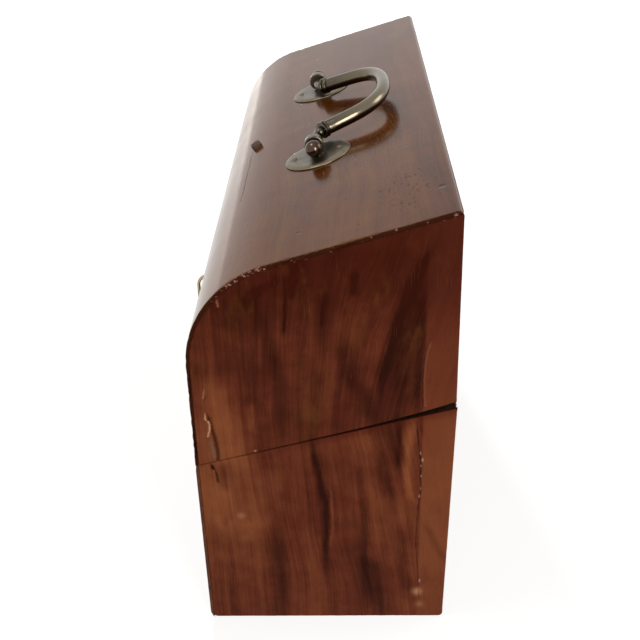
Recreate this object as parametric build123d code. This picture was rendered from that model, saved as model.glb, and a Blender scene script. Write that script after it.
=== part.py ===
"""Decanter box: a veneered case with three bottle wells, a hinged sloping lid with a bail
handle, a keyed turn lock at the front and stopped butt hinges at the back.

Millimetres. +Z is up, the front faces -Y, the length runs along X. The origin is the centre
of the bottom face. The lid is stored closed and unlocked, and the bail slightly raised.
"""
from build123d import *
import os
from math import atan2, cos, pi, radians, sin, tan

os.makedirs("parts", exist_ok=True)

# Case, outside sizes. The lid was sawn from the case along a sloping rim.
length = 411.0
foot_half_depth = 69.3
front_lean = 0.9
back_lean = 2.7
rim_front_z = 112.0
rim_rise = 37.0
foot_edge_r = 2.5
soft_edge_r = 0.7

# Lid, outside sizes.
lid_height = 262.5
lid_back_inset = 0.6
lid_back_lean = 0.8
top_angle = 16.44
nose_radius = 61.2
lid_gap_front = 0.4
lid_gap_back = 4.9
lid_back_edge_r = 2.2

# Wood thicknesses.
sheet_t = 2.0
end_veneer_t = 1.2
back_veneer_t = 1.0
front_board_t = 8.0
back_board_t = 15.5
end_board_t = 12.0
top_board_t = 10.0
bottom_board_t = 10.0
nose_foot_drop = 5.0

# Wells.
divider_t = 8.0
divider_drop = 7.0
divider_housing = 3.0
pad_t = 1.5
pad_margin = 1.0

# Hinges.
hinge_inset = 122.0
hinge_length = 50.0
hinge_knuckles = 5
hinge_gap = 0.3
leaf_t = 1.8
leaf_w = 14.5
barrel_r = 3.2
barrel_stand_off = 0.6
hinge_pin_r = 1.6
pin_head_r = 2.5
pin_head_t = 1.4
running_gap = 0.05
swing_gap = 0.35
screw_inset = 7.0
stop_tooth_angle = 75.0
stop_tooth_reach = 3.8
stop_tooth_t = 2.0
stop_ledge_drop = 0.5
stop_ledge_t = 1.9

# Wood screws: head radius, head height, shank radius, length.
hinge_screw = (2.9, 1.5, 1.5, 12.0)
small_screw = (2.3, 1.1, 1.2, 7.0)

# Handle, placed on the lid's slope.
handle_x = 2.0
handle_from_back = 76.1
post_half_gap = 67.0
plate_r = 20.5
plate_t = 1.6
plate_edge_t = 0.8
plate_bevel_w = 2.2
eye_r = 5.8
eye_w = 6.0
eye_lift = 0.2
pivot_r = 2.0
post_foot_r = 2.9
post_collar_r = 4.7
post_collar_t = 0.8
post_shank_r = 2.5
shank_end = 1.5
washer_r = 7.0
washer_t = 1.0
nut_w = 9.0
nut_t = 4.0
lining_t = 1.0
lining_clear = 1.5
plate_pin_offset = 14.0
plate_pin_r = 0.8
plate_pin_long = 9.0
side_gap = 0.35
bail_raise = 5.0
bail_rod_r = 4.5
bail_half_w = 46.0
bail_reach = 46.8
bail_neck_r = 2.7
bail_collar_r = 5.3
bail_collar_t = 1.7
bail_collar_gap = 0.2
bail_collar_step = 2.7
bail_bead_r = 3.4
knob_r = 5.1
knob_flat = 0.2
knob_pin_depth = 6.6
# The bail's bow from leg to middle, as shares of its half width and its reach.
bail_shape = [
    (1.0, 0.171),
    (0.972, 0.278),
    (0.935, 0.406),
    (0.848, 0.641),
    (0.696, 0.823),
    (0.435, 0.951),
    (0.0, 1.0),
]
bail_leg_out = (0.53, -0.85)

# Square stud on the lid's nose.
stud_x = 7.0
stud_angle = 125.0
stud_turn = 16.0
stud_w = 7.0
stud_h = 3.5
stud_chamfer = 0.9
stud_shank_r = 1.5
stud_shank_long = 10.0

# Turn lock behind the front board.
lock_x = -6.0
key_below_rim = 9.0
lock_depth = 11.4
lock_below_key = 12.0
lock_plate_t = 1.2
lock_plate_w = 40.0
lock_cap_w = 28.0
lock_cap_t = 1.0
selvage_t = 1.5
hub_r = 3.5
hub_end_gap = 0.15
front_journal_r = 2.9
rear_journal_r = 2.2
hook_in_r = 7.8
hook_out_r = 10.4
hook_lead_angle = 114.0
hook_tail_angle = 225.0
hook_arm_w = 2.4
hook_t = 2.3
eye_bar_low_r = 5.0
eye_bar_high_r = 6.8
tongue_t = 2.0
tongue_half_w = 3.4
tongue_slot_half_w = 2.1
tongue_from_board = 4.2
keeper_w = 26.0
keeper_t = 1.5
keeper_h = 16.0
keeper_lift = 1.5

# Key and its plate.
drive_square = 3.1
drive_depth = 7.0
key_shank_r = 2.4
key_hole_r = 3.0
key_collar_r = 3.5
key_collar_t = 1.4
key_reach = 23.8
bow_half_h = 21.5
bow_half_w = 10.0
bow_corner_r = 8.0
bow_bar = 2.2
bow_t = 3.0
bow_edge_r = 0.9
escutcheon_r = 8.5
escutcheon_t = 1.4
escutcheon_inlay = 0.3
escutcheon_pin_r = 0.6
escutcheon_pin_long = 6.0

# Places that follow from the sizes above.
half = length / 2
hinge_x = half - hinge_inset
lid_front_y = -foot_half_depth - front_lean
foot_back_y = foot_half_depth + back_lean
lid_back_low_y = foot_back_y - lid_back_inset
lid_back_top_y = lid_back_low_y - lid_back_lean
front_inner_y = lid_front_y + sheet_t + front_board_t
back_inner_y = foot_back_y - back_veneer_t - back_board_t
slope = radians(top_angle)
beyond = 2 * length
low = Align.MIN
mid = Align.CENTER
high = Align.MAX


def base_rim(y):
    """Height of the base's sloping rim at depth y."""
    return rim_front_z + rim_rise * (y - lid_front_y) / (foot_back_y - lid_front_y)


def lid_rim(y):
    """Height of the lid's rim at depth y, a thin wedge above the base's rim."""
    share = (y - lid_front_y) / (foot_back_y - lid_front_y)
    return base_rim(y) + lid_gap_front + (lid_gap_back - lid_gap_front) * share


def front_face(z):
    """Outside face of the base's front at height z."""
    return -foot_half_depth - front_lean * z / rim_front_z


def back_face(z):
    """Outside face of the base's back at height z."""
    return foot_half_depth + back_lean * z / base_rim(foot_back_y)


def prism(points, x_low, x_high):
    """A solid with the (y, z) outline given, from x_low to x_high."""
    side = Plane(origin=(x_low, 0, 0), x_dir=(0, 1, 0), z_dir=(1, 0, 0))
    return extrude(side * Polygon(*points, align=None), amount=x_high - x_low, dir=(1, 0, 0))


def rod_x(radius, x_low, x_high, y, z):
    """A round bar along X."""
    bar = Plane(origin=(x_low, y, z), z_dir=(1, 0, 0))
    return bar * Cylinder(radius, x_high - x_low, align=(mid, mid, low))


def rod_y(radius, y_low, y_high, x, z):
    """A round bar along Y."""
    bar = Plane(origin=(x, y_low, z), z_dir=(0, 1, 0))
    return bar * Cylinder(radius, y_high - y_low, align=(mid, mid, low))


def both(make):
    """The piece at the -X end and the piece at the +X end."""
    return {"left": make(-1), "right": make(1)}


def wood_screw(size, square_cut=0.5):
    """A countersunk wood screw with its head at the origin, pointing along -Z."""
    head_r, head_h, shank_r, long = size
    point = 3 * shank_r
    screw = Pos(0, 0, -head_h) * Cone(shank_r, head_r, head_h, align=(mid, mid, low))
    screw += Cylinder(shank_r, long - point, align=(mid, mid, high))
    screw += Pos(0, 0, point - long) * Cone(0.2, shank_r, point, align=(mid, mid, high))
    return screw, screw - Box(3 * head_r, 0.7, square_cut, align=(mid, mid, high))


parts = {}

# Base envelope: the outside of the base with worn lower edges and softened corners.
foot_outline = [
    (-foot_half_depth, 0),
    (foot_half_depth, 0),
    (back_face(base_rim(foot_back_y)), base_rim(foot_back_y)),
    (front_face(base_rim(lid_front_y)), base_rim(lid_front_y)),
]
base_block = prism(foot_outline, -half, half)
foot_edges = [e for e in base_block.edges().filter_by(Axis.X) if e.center().Z < 1]
base_block = fillet(foot_edges, foot_edge_r)
end_edges = [
    e
    for e in base_block.edges()
    if abs(abs(e.center().X) - half) < 0.01 and abs(e.center().Y) > foot_half_depth / 2
    or abs(abs(e.center().X) - half) < 0.01 and e.center().Z < 0.01
]
base_block = fillet(end_edges, soft_edge_r)
under_rim = prism(
    [(-beyond, -beyond), (beyond, -beyond), (beyond, base_rim(beyond)), (-beyond, base_rim(-beyond))],
    -beyond,
    beyond,
)

# Base boards. Front and back run the full length, the ends and the bottom fit between.
board_half = half - end_veneer_t
well_half = board_half - end_board_t
divider_x = (well_half * 2 - 2 * divider_t) / 3 / 2 + divider_t / 2


def base_strip(low_y, high_y, x_low, x_high):
    """A board or veneer of the base between two leaning (y at foot, y at rim) faces."""
    top = base_rim(foot_back_y) + 1
    outline = [
        (low_y(0), 0),
        (high_y(0), 0),
        (high_y(top), top),
        (low_y(top), top),
    ]
    return prism(outline, x_low, x_high) & under_rim


base_front_board = base_strip(
    lambda z: front_face(z) + sheet_t, lambda z: front_inner_y, -board_half, board_half
)
base_back_board = base_strip(
    lambda z: back_inner_y, lambda z: back_face(z) - back_veneer_t, -board_half, board_half
)
base_front_veneer = base_block & base_strip(
    front_face, lambda z: front_face(z) + sheet_t, -half, half
)
base_back_veneer = base_block & base_strip(
    lambda z: back_face(z) - back_veneer_t, back_face, -board_half, board_half
)
base_front_board = base_front_board & base_block
base_back_board = base_back_board & base_block


def base_end_board(side):
    spans = sorted((side * well_half, side * board_half))
    return base_strip(lambda z: front_inner_y, lambda z: back_inner_y, *spans)


def base_end_veneer(side):
    spans = sorted((side * board_half, side * half))
    return base_block & base_strip(lambda z: front_face(z) + sheet_t, back_face, *spans)


for name, piece in both(base_end_board).items():
    parts["base_end_board_" + name] = piece
for name, piece in both(base_end_veneer).items():
    parts["base_end_veneer_" + name] = piece

parts["base_bottom_board"] = Pos(0, front_inner_y, 0) * Box(
    2 * well_half, back_inner_y - front_inner_y, bottom_board_t, align=(mid, low, low)
)


# Dividers, housed in shallow grooves in the front and back boards.
def divider(side):
    outline = [
        (front_inner_y - divider_housing, bottom_board_t),
        (back_inner_y + divider_housing, bottom_board_t),
        (back_inner_y + divider_housing, base_rim(back_inner_y) - divider_drop),
        (front_inner_y - divider_housing, base_rim(front_inner_y) - divider_drop),
    ]
    x = side * divider_x
    return prism(outline, x - divider_t / 2, x + divider_t / 2)


for name, piece in both(divider).items():
    parts["divider_" + name] = piece
    base_front_board -= piece
    base_back_board -= piece

# Cloth pads on the floor of the wells.
well_edges = [-well_half, -divider_x - divider_t / 2, -divider_x + divider_t / 2]
well_edges += [-x for x in reversed(well_edges)]
for index, name in enumerate(("left", "middle", "right")):
    x_low = well_edges[2 * index] + pad_margin
    x_high = well_edges[2 * index + 1] - pad_margin
    parts["well_pad_" + name] = Pos(x_low, front_inner_y + pad_margin, bottom_board_t) * Box(
        x_high - x_low,
        back_inner_y - front_inner_y - 2 * pad_margin,
        pad_t,
        align=(low, low, low),
    )

# Lid outline and envelope.
nose_y = lid_front_y + nose_radius
nose_drop = nose_radius * cos(slope)
run = lid_back_top_y - (nose_y - nose_radius * sin(slope))
nose_z = lid_height - run * tan(slope) - nose_drop


def lid_section(skin, back_skin):
    """The lid's (y, z) outline, drawn in by skin at front, nose and top, back_skin behind."""
    r = nose_radius - skin
    turn = (pi / 2 - slope) / 2
    arc_mid = (nose_y - r * cos(turn), nose_z + r * sin(turn))
    arc_end = (nose_y - r * sin(slope), nose_z + r * cos(slope))
    back_rise = -lid_back_lean / (lid_height - lid_rim(lid_back_low_y))
    y = lid_back_top_y
    for _ in range(6):
        z = arc_end[1] + (y - arc_end[0]) * tan(slope)
        y = lid_back_top_y - back_skin + back_rise * (z - lid_height)
    low_z = rim_front_z / 2
    back_low_y = lid_back_top_y - back_skin + back_rise * (low_z - lid_height)
    front_y = lid_front_y + skin
    edges = [
        Line((front_y, low_z), (front_y, nose_z)),
        ThreePointArc((front_y, nose_z), arc_mid, arc_end),
        Line(arc_end, (y, z)),
        Line((y, z), (back_low_y, low_z)),
        Line((back_low_y, low_z), (front_y, low_z)),
    ]
    return make_face(Curve() + edges)


def lid_solid(skin, back_skin, x_low, x_high):
    side = Plane(origin=(x_low, 0, 0), x_dir=(0, 1, 0), z_dir=(1, 0, 0))
    return extrude(side * lid_section(skin, back_skin), amount=x_high - x_low, dir=(1, 0, 0))


over_rim = prism(
    [(-beyond, lid_rim(-beyond)), (beyond, lid_rim(beyond)), (beyond, beyond), (-beyond, beyond)],
    -beyond,
    beyond,
)
lid_block = lid_solid(0, 0, -half, half)
back_edge = lid_block.edges().filter_by(Axis.X).group_by(Axis.Z)[-1]
lid_block = fillet(back_edge, lid_back_edge_r)
lid_ends = [e for e in lid_block.edges() if abs(abs(e.center().X) - half) < 0.01]
lid_ends = [e for e in lid_ends if e.center().Z > rim_front_z / 2 + 1]
lid_block = fillet(lid_ends, soft_edge_r) & over_rim

inside_sheet = lid_solid(sheet_t, 0, -half - 1, half + 1)
inside_veneer = lid_solid(sheet_t, back_veneer_t, -half - 1, half + 1)
lid_top_sheet = lid_block - inside_sheet
tall = Box(2 * board_half, beyond, beyond)
lid_back_veneer = (lid_block & inside_sheet & tall) - inside_veneer


def lid_end_veneer(side):
    end = Pos(side * (board_half + half) / 2, 0, 0) * Box(end_veneer_t, beyond, beyond)
    return end & (lid_block & inside_sheet)


for name, piece in both(lid_end_veneer).items():
    parts["lid_end_veneer_" + name] = piece
parts["lid_back_veneer"] = lid_back_veneer

# Lid boards: front, nose block, top, back, and the ends between them.
lid_core = inside_veneer & over_rim & tall
core_under_top = lid_solid(sheet_t + top_board_t, 0, -half, half)
tangent_y = nose_y - nose_radius * sin(slope)
tangent_z = nose_z + nose_radius * cos(slope)
behind_nose = Plane(
    origin=(0, tangent_y, tangent_z), x_dir=(1, 0, 0), z_dir=(0, -sin(slope), cos(slope))
) * Box(length, beyond, beyond, align=(mid, low, mid))
nose_foot_z = nose_z - nose_foot_drop
front_zone = Pos(0, front_inner_y, nose_foot_z) * Box(length, beyond, beyond, align=(mid, high, high))
back_zone = Pos(0, back_inner_y, 0) * Box(length, beyond, beyond, align=(mid, low, mid))
upper_zone = Pos(0, 0, nose_foot_z) * Box(length, beyond, beyond, align=(mid, mid, low))

lid_front_board = lid_core & front_zone
lid_shell = lid_core - core_under_top
lid_top_board = lid_shell & behind_nose & upper_zone
lid_nose_block = (lid_shell - behind_nose) & upper_zone
lid_back_board = (lid_core & back_zone & core_under_top) - lid_top_board
lid_room = lid_core - lid_front_board - lid_nose_block - lid_top_board - lid_back_board
for name, side in (("left", -1), ("right", 1)):
    end = Pos(side * (well_half + board_half) / 2, 0, 0) * Box(end_board_t, beyond, beyond)
    parts["lid_end_board_" + name] = end & lid_room

# Handle frame on the slope: x along the lid, y up the slope, z out of the wood.
handle_origin = (
    handle_x,
    lid_back_top_y - handle_from_back * cos(slope),
    lid_height - handle_from_back * sin(slope),
)
pivot_height = plate_t + eye_lift + eye_r
on_lid = Plane(origin=handle_origin, x_dir=(1, 0, 0), z_dir=(0, -sin(slope), cos(slope)))
under_z = -(sheet_t + top_board_t)

plate_section = make_face(
    Polyline(
        (post_shank_r, 0),
        (plate_r, 0),
        (plate_r, plate_edge_t),
        (plate_r - plate_bevel_w, plate_t),
        (post_shank_r, plate_t),
        close=True,
    )
)
plate = revolve(Plane.XZ * plate_section, Axis.Z)
plate_pin = Cylinder(plate_pin_r, plate_pin_long, align=(mid, mid, high))
plate_pin += Cone(2 * plate_pin_r, plate_pin_r, plate_pin_r, align=(mid, mid, low))
plate_pin = Pos(0, 0, plate_t) * plate_pin
eye_tube = rod_x(eye_r, -eye_w / 2, eye_w / 2, 0, pivot_height)
eye_tube = fillet(eye_tube.edges().filter_by(GeomType.CIRCLE), 0.8)
foot = Cylinder(post_foot_r, pivot_height - plate_t, align=(mid, mid, low))
post = eye_tube + Pos(0, 0, plate_t) * foot
post += Pos(0, 0, plate_t) * Cylinder(post_collar_r, post_collar_t, align=(mid, mid, low))
shank_low = under_z - washer_t - nut_t - shank_end
post += Pos(0, 0, shank_low) * Cylinder(
    post_shank_r, plate_t + post_collar_t - shank_low, align=(mid, mid, low)
)
post -= rod_x(pivot_r + running_gap, -eye_w, eye_w, 0, pivot_height)
post_bore = Cylinder(post_shank_r, 6 * top_board_t)
washer = Pos(0, 0, under_z) * Cylinder(washer_r, washer_t, align=(mid, mid, high)) - post_bore
nut = Pos(0, 0, under_z - washer_t) * Box(nut_w, nut_w, nut_t, align=(mid, mid, high))
nut = chamfer(nut.edges().filter_by(Axis.Z), 0.6) - post_bore

lining = lid_solid(sheet_t + top_board_t, 0, -well_half, well_half)
lining = lining - lid_solid(sheet_t + top_board_t + lining_t, 0, -half, half)
lining = (lining & behind_nose) - back_zone
pins = []
washers = []
nuts = []
for name, side in (("left", -1), ("right", 1)):
    spot = on_lid * Pos(side * post_half_gap, 0, 0)
    holes = [Pos(0, offset, 0) for offset in (-plate_pin_offset, plate_pin_offset)]
    pin_pair = [hole * plate_pin for hole in holes]
    drilled = plate - pin_pair[0] - pin_pair[1]
    parts["handle_plate_" + name] = spot * drilled
    parts["handle_post_" + name] = spot * post
    for solid in pin_pair:
        pins.append(spot * solid)
    washers.append(spot * washer)
    nuts.append(spot * nut)
    lid_top_board -= spot * post_bore
    lid_top_sheet -= spot * post_bore
    lining -= spot * Cylinder(washer_r + lining_clear, 6 * top_board_t)
for solid in pins:
    lid_top_board -= solid
    lid_top_sheet -= solid
parts["lid_lining"] = lining
parts["handle_plate_pins"] = Compound(children=pins)
parts["handle_washers"] = Compound(children=washers)
parts["handle_nuts"] = Compound(children=nuts)

# Bail: one forged rod with collars and thin necks that turn out into the pivots.
leg = [(bail_half_w * across, bail_reach * up) for across, up in bail_shape]
bow_line = leg + [(-x, y) for x, y in reversed(leg[:-1])]
lead = Vector(bail_leg_out[0], bail_leg_out[1]).normalized()
path = Spline(*bow_line, tangents=[(-lead.X, -lead.Y), (-lead.X, lead.Y)])
bail = sweep(Plane(origin=path @ 0, z_dir=path % 0) * Circle(bail_rod_r), path=path)
eye_in = post_half_gap - eye_w / 2
knob_seat = post_half_gap + eye_w / 2 + side_gap
neck_run = eye_in - side_gap - bail_half_w
start = Vector(*leg[0])
neck_mid = Vector(bail_half_w + 0.35 * neck_run, 0.2 * leg[0][1])
neck_path = Spline(start, neck_mid, (eye_in - side_gap, 0), tangents=[lead, (1, 0)])
arm = sweep(Plane(origin=start, z_dir=lead) * Circle(bail_neck_r), path=neck_path)
arm += rod_x(pivot_r, eye_in - 3 * side_gap, knob_seat + knob_pin_depth, 0, 0)
for step in (bail_collar_gap, bail_collar_gap + bail_collar_step):
    ring = Cylinder(bail_collar_r, bail_collar_t)
    ring = fillet(ring.edges().filter_by(GeomType.CIRCLE), 0.4 * bail_collar_t)
    arm += Plane(origin=start + lead * step, z_dir=lead) * ring
arm += Pos(start + lead * (2 * bail_collar_step)) * Sphere(bail_bead_r)
bail += arm
bail += mirror(arm, about=Plane.YZ)
raise_angle = slope + radians(bail_raise)
pivot_y = handle_origin[1] - pivot_height * sin(slope)
pivot_z = handle_origin[2] + pivot_height * cos(slope)
in_bail = Plane(
    origin=(handle_x, pivot_y, pivot_z),
    x_dir=(1, 0, 0),
    z_dir=(0, -sin(raise_angle), cos(raise_angle)),
)
parts["bail"] = in_bail * bail
ball = Rot(0, 90, 0) * Sphere(knob_r)
knob = Pos(knob_seat + knob_r - knob_flat, 0, 0) * ball
knob -= rod_x(pivot_r, bail_half_w, knob_seat + knob_pin_depth, 0, 0)
knob &= Pos(knob_seat, 0, 0) * Box(4 * knob_r, 4 * knob_r, 4 * knob_r, align=(low, mid, mid))
parts["bail_knob_right"] = in_bail * knob
parts["bail_knob_left"] = in_bail * mirror(knob, about=Plane.YZ)

# Square stud driven into the nose.
a = radians(stud_angle)
stud_point = (stud_x, nose_y + nose_radius * cos(a), nose_z + nose_radius * sin(a))
stud_frame = Plane(origin=stud_point, x_dir=(1, 0, 0), z_dir=(0, cos(a), sin(a)))
stud_sink = stud_w * stud_w / nose_radius / 4
stud_head = Pos(0, 0, -stud_sink) * Rot(0, 0, stud_turn) * Box(
    stud_w, stud_w, stud_h + stud_sink, align=(mid, mid, low)
)
stud_head = chamfer(stud_head.faces().sort_by(Axis.Z)[-1].edges(), stud_chamfer)
stud_shank = Cylinder(stud_shank_r, stud_shank_long, align=(mid, mid, high))
stud = stud_frame * (stud_head + stud_shank)
lid_top_sheet -= stud
lid_nose_block -= stud
parts["nose_stud"] = stud

# Hinges: leaves screwed flat on the rims, a heel on the lid's knuckles meets a ledge.
base_up = Vector(0, -(base_rim(1) - base_rim(0)), 1).normalized()
lid_down = Vector(0, lid_rim(1) - lid_rim(0), -1).normalized()
knuckle = hinge_length / hinge_knuckles
screw_cut, screw_body = wood_screw(hinge_screw)
barrel_y = foot_back_y + barrel_stand_off + barrel_r
barrel_z = (base_rim(barrel_y) + lid_rim(barrel_y)) / 2
leaf_inner_y = foot_back_y - leaf_w
leaf_end_y = barrel_y - barrel_r - swing_gap
screw_y = (leaf_inner_y + foot_back_y) / 2
tooth_r = barrel_r + stop_tooth_reach
ledge_high = barrel_z - barrel_r - stop_ledge_drop
ledge_low = ledge_high - stop_ledge_t
base_screws = []
lid_screws = []


def knuckle_spans(x, first):
    """The X spans of every second knuckle of the hinge centred on x."""
    spans = []
    for index in range(first, hinge_knuckles, 2):
        start = x - hinge_length / 2 + index * knuckle
        spans.append((start + hinge_gap / 2, start + knuckle - hinge_gap / 2))
    return spans


def hinge_leaf(x, rim, thick, first, bore):
    """A leaf on the rim given, with its knuckles and the webs that carry them."""
    spans = []
    for low_y, high_y in ((leaf_inner_y, leaf_end_y), (leaf_end_y - 1, barrel_y - 1)):
        spans.append(
            [
                (low_y, rim(low_y)),
                (high_y, rim(high_y)),
                (high_y, rim(high_y) + thick),
                (low_y, rim(low_y) + thick),
            ]
        )
    outline, web = spans
    leaf = prism(outline, x - hinge_length / 2, x + hinge_length / 2)
    for x_low, x_high in knuckle_spans(x, first):
        leaf += rod_x(barrel_r, x_low, x_high, barrel_y, barrel_z)
        leaf += prism(web, x_low, x_high)
    return leaf - rod_x(bore, x - hinge_length, x + hinge_length, barrel_y, barrel_z)


for name, side in (("left", -1), ("right", 1)):
    x = side * hinge_x
    base_leaf = hinge_leaf(x, base_rim, leaf_t, 0, hinge_pin_r)
    lid_leaf = hinge_leaf(x, lid_rim, -leaf_t, 1, hinge_pin_r + running_gap)
    ledge = [
        (barrel_y + barrel_r / 3, ledge_low),
        (barrel_y + tooth_r, ledge_low),
        (barrel_y + tooth_r, ledge_high),
        (barrel_y + barrel_r / 3, ledge_high),
    ]
    bracket = [
        (barrel_y - barrel_r / 2, barrel_z - 0.7 * barrel_r),
        (barrel_y + 0.75 * barrel_r, barrel_z - 0.55 * barrel_r),
        (barrel_y + tooth_r, ledge_high),
        (barrel_y + tooth_r, ledge_low),
        (barrel_y + barrel_r / 3, ledge_low),
    ]
    first_span = knuckle_spans(x, 0)
    base_leaf += prism(ledge, first_span[0][0], first_span[-1][1])
    for x_low, x_high in first_span:
        base_leaf += prism(bracket, x_low, x_high)
    base_leaf -= rod_x(hinge_pin_r, x - hinge_length, x + hinge_length, barrel_y, barrel_z)
    tooth_frame = Pos(x, barrel_y, barrel_z) * Rot(stop_tooth_angle, 0, 0)
    for x_low, x_high in knuckle_spans(x, 1):
        root = 0.75 * barrel_r
        tooth = Pos((x_low + x_high) / 2 - x, root, 0) * Box(
            x_high - x_low, tooth_r - root, stop_tooth_t, align=(mid, low, mid)
        )
        lid_leaf += tooth_frame * tooth
    screw_span = hinge_length / 2 - screw_inset
    for offset in (-screw_span, 0.0, screw_span):
        y = screw_y + (-0.1 if offset == 0 else 0.08) * leaf_w
        down = Plane(
            origin=(x + offset, y, base_rim(y) + leaf_t), x_dir=(1, 0, 0), z_dir=base_up
        )
        up = Plane(origin=(x + offset, y, lid_rim(y) - leaf_t), x_dir=(1, 0, 0), z_dir=lid_down)
        base_leaf -= down * screw_cut
        base_back_board -= down * screw_cut
        lid_leaf -= up * screw_cut
        lid_back_board -= up * screw_cut
        base_screws.append(down * screw_body)
        lid_screws.append(up * screw_body)
    parts["hinge_leaf_base_" + name] = base_leaf
    parts["hinge_leaf_lid_" + name] = lid_leaf
    pin_low = x - hinge_length / 2 + hinge_gap / 2
    pin_high = x + hinge_length / 2 - hinge_gap / 2
    pin = rod_x(hinge_pin_r, pin_low, pin_high, barrel_y, barrel_z)
    pin += rod_x(pin_head_r, pin_low - pin_head_t, pin_low, barrel_y, barrel_z)
    pin += rod_x(pin_head_r, pin_high, pin_high + pin_head_t, barrel_y, barrel_z)
    parts["hinge_pin_" + name] = pin
parts["hinge_screws_base"] = Compound(children=base_screws)
parts["hinge_screws_lid"] = Compound(children=lid_screws)

# Lock: a plate on the inside of the front board, a cap, and a hook turned by the key.
lock_z = rim_front_z - key_below_rim
lock_low_z = lock_z - lock_below_key
lock_back_y = front_inner_y + lock_depth
plate_back_y = front_inner_y + lock_plate_t
lock_plate = prism(
    [
        (front_inner_y, lock_low_z),
        (plate_back_y, lock_low_z),
        (plate_back_y, base_rim(plate_back_y)),
        (front_inner_y, base_rim(front_inner_y)),
    ],
    lock_x - lock_plate_w / 2,
    lock_x + lock_plate_w / 2,
)
selvage = prism(
    [
        (front_inner_y, base_rim(front_inner_y) - selvage_t),
        (lock_back_y, base_rim(lock_back_y) - selvage_t),
        (lock_back_y, base_rim(lock_back_y)),
        (front_inner_y, base_rim(front_inner_y)),
    ],
    lock_x - lock_cap_w / 2,
    lock_x + lock_cap_w / 2,
)
cap_outer = prism(
    [
        (plate_back_y, lock_low_z),
        (lock_back_y, lock_low_z),
        (lock_back_y, base_rim(lock_back_y) - selvage_t),
        (plate_back_y, base_rim(plate_back_y) - selvage_t),
    ],
    lock_x - lock_cap_w / 2,
    lock_x + lock_cap_w / 2,
)
cap_inner = prism(
    [
        (plate_back_y - 1, lock_low_z + lock_cap_t),
        (lock_back_y - lock_cap_t, lock_low_z + lock_cap_t),
        (lock_back_y - lock_cap_t, lock_low_z + rim_front_z),
        (plate_back_y - 1, lock_low_z + rim_front_z),
    ],
    lock_x - lock_cap_w / 2 + lock_cap_t,
    lock_x + lock_cap_w / 2 - lock_cap_t,
)
lock_cap = cap_outer - cap_inner
rear_bore = rear_journal_r + running_gap
lock_cap -= rod_y(rear_bore, lock_back_y - 2 * lock_cap_t, lock_back_y + 1, lock_x, lock_z)
lock_plate = lock_plate + selvage
front_bore = front_journal_r + running_gap
lock_plate -= rod_y(front_bore, front_inner_y - 1, plate_back_y + 1, lock_x, lock_z)

# Keeper: a slanted tongue with an eye, lying along the path the lid takes as it lifts.
rise = atan2(lid_rim(1) - lid_rim(0), 1)
tongue_top_y = front_inner_y + tongue_from_board
tongue_frame = Plane(
    origin=(lock_x - tongue_t / 2, tongue_top_y, lid_rim(tongue_top_y)),
    x_dir=(0, cos(rise), sin(rise)),
    z_dir=(1, 0, 0),
)
bar_low_s = (lid_rim(tongue_top_y) - lock_z - eye_bar_low_r) / cos(rise)
bar_high_s = (lid_rim(tongue_top_y) - lock_z - eye_bar_high_r) / cos(rise)
tongue_up = 0.55 * keeper_h
tongue_face = Pos(0, -bar_low_s) * Rectangle(
    2 * tongue_half_w, bar_low_s + tongue_up, align=(mid, low)
)
tongue_face -= Pos(0, -bar_high_s) * Rectangle(
    2 * tongue_slot_half_w, bar_high_s - 0.6, align=(mid, low)
)
keeper = extrude(tongue_frame * tongue_face, amount=tongue_t, dir=(1, 0, 0))
keeper &= Pos(lock_x, front_inner_y, 0) * Box(beyond, beyond, beyond, align=(mid, low, mid))
keeper_low_z = lid_rim(front_inner_y) + keeper_lift
keeper += Pos(lock_x, front_inner_y, keeper_low_z) * Box(
    keeper_w, keeper_t, keeper_h, align=(mid, low, low)
)
gusset = [
    (front_inner_y + keeper_t / 3, keeper_low_z),
    (tongue_top_y, lid_rim(tongue_top_y) + 1.0),
    (tongue_top_y - 1.0, lid_rim(tongue_top_y) + 0.5 * keeper_h),
    (front_inner_y + keeper_t / 3, keeper_low_z + 0.55 * keeper_h),
]
keeper += prism(gusset, lock_x - tongue_t / 2, lock_x + tongue_t / 2)
slot_face = Rectangle(2 * tongue_half_w + 4 * swing_gap, 6 * selvage_t)
slot_face = tongue_frame * Pos(0, -2 * selvage_t) * slot_face
swept_slot = extrude(slot_face, amount=tongue_t + 3 * swing_gap, dir=(1, 0, 0))
lock_plate -= Pos(-1.5 * swing_gap, 0, 0) * swept_slot

small_cut, small_body = wood_screw(small_screw, 0.4)
keeper_screws = []
for share in (-0.35, 0.35):
    spot = Plane(
        origin=(lock_x + share * keeper_w, front_inner_y + keeper_t, keeper_low_z + keeper_h / 2),
        z_dir=(0, 1, 0),
    )
    keeper -= spot * small_cut
    lid_front_board -= spot * small_cut
    keeper_screws.append(spot * small_body)
parts["keeper"] = keeper
parts["keeper_screws"] = Compound(children=keeper_screws)
lock_screws = []
screw_out = (lock_plate_w + lock_cap_w) / 4
for offset in (-screw_out, screw_out):
    for z in (lock_low_z + 0.35 * lock_below_key, lock_z + 0.45 * key_below_rim):
        spot = Plane(origin=(lock_x + offset, plate_back_y, z), z_dir=(0, 1, 0))
        lock_plate -= spot * small_cut
        base_front_board -= spot * small_cut
        lock_screws.append(spot * small_body)
parts["lock_plate"] = lock_plate
parts["lock_cap"] = lock_cap
parts["lock_screws"] = Compound(children=lock_screws)

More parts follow.
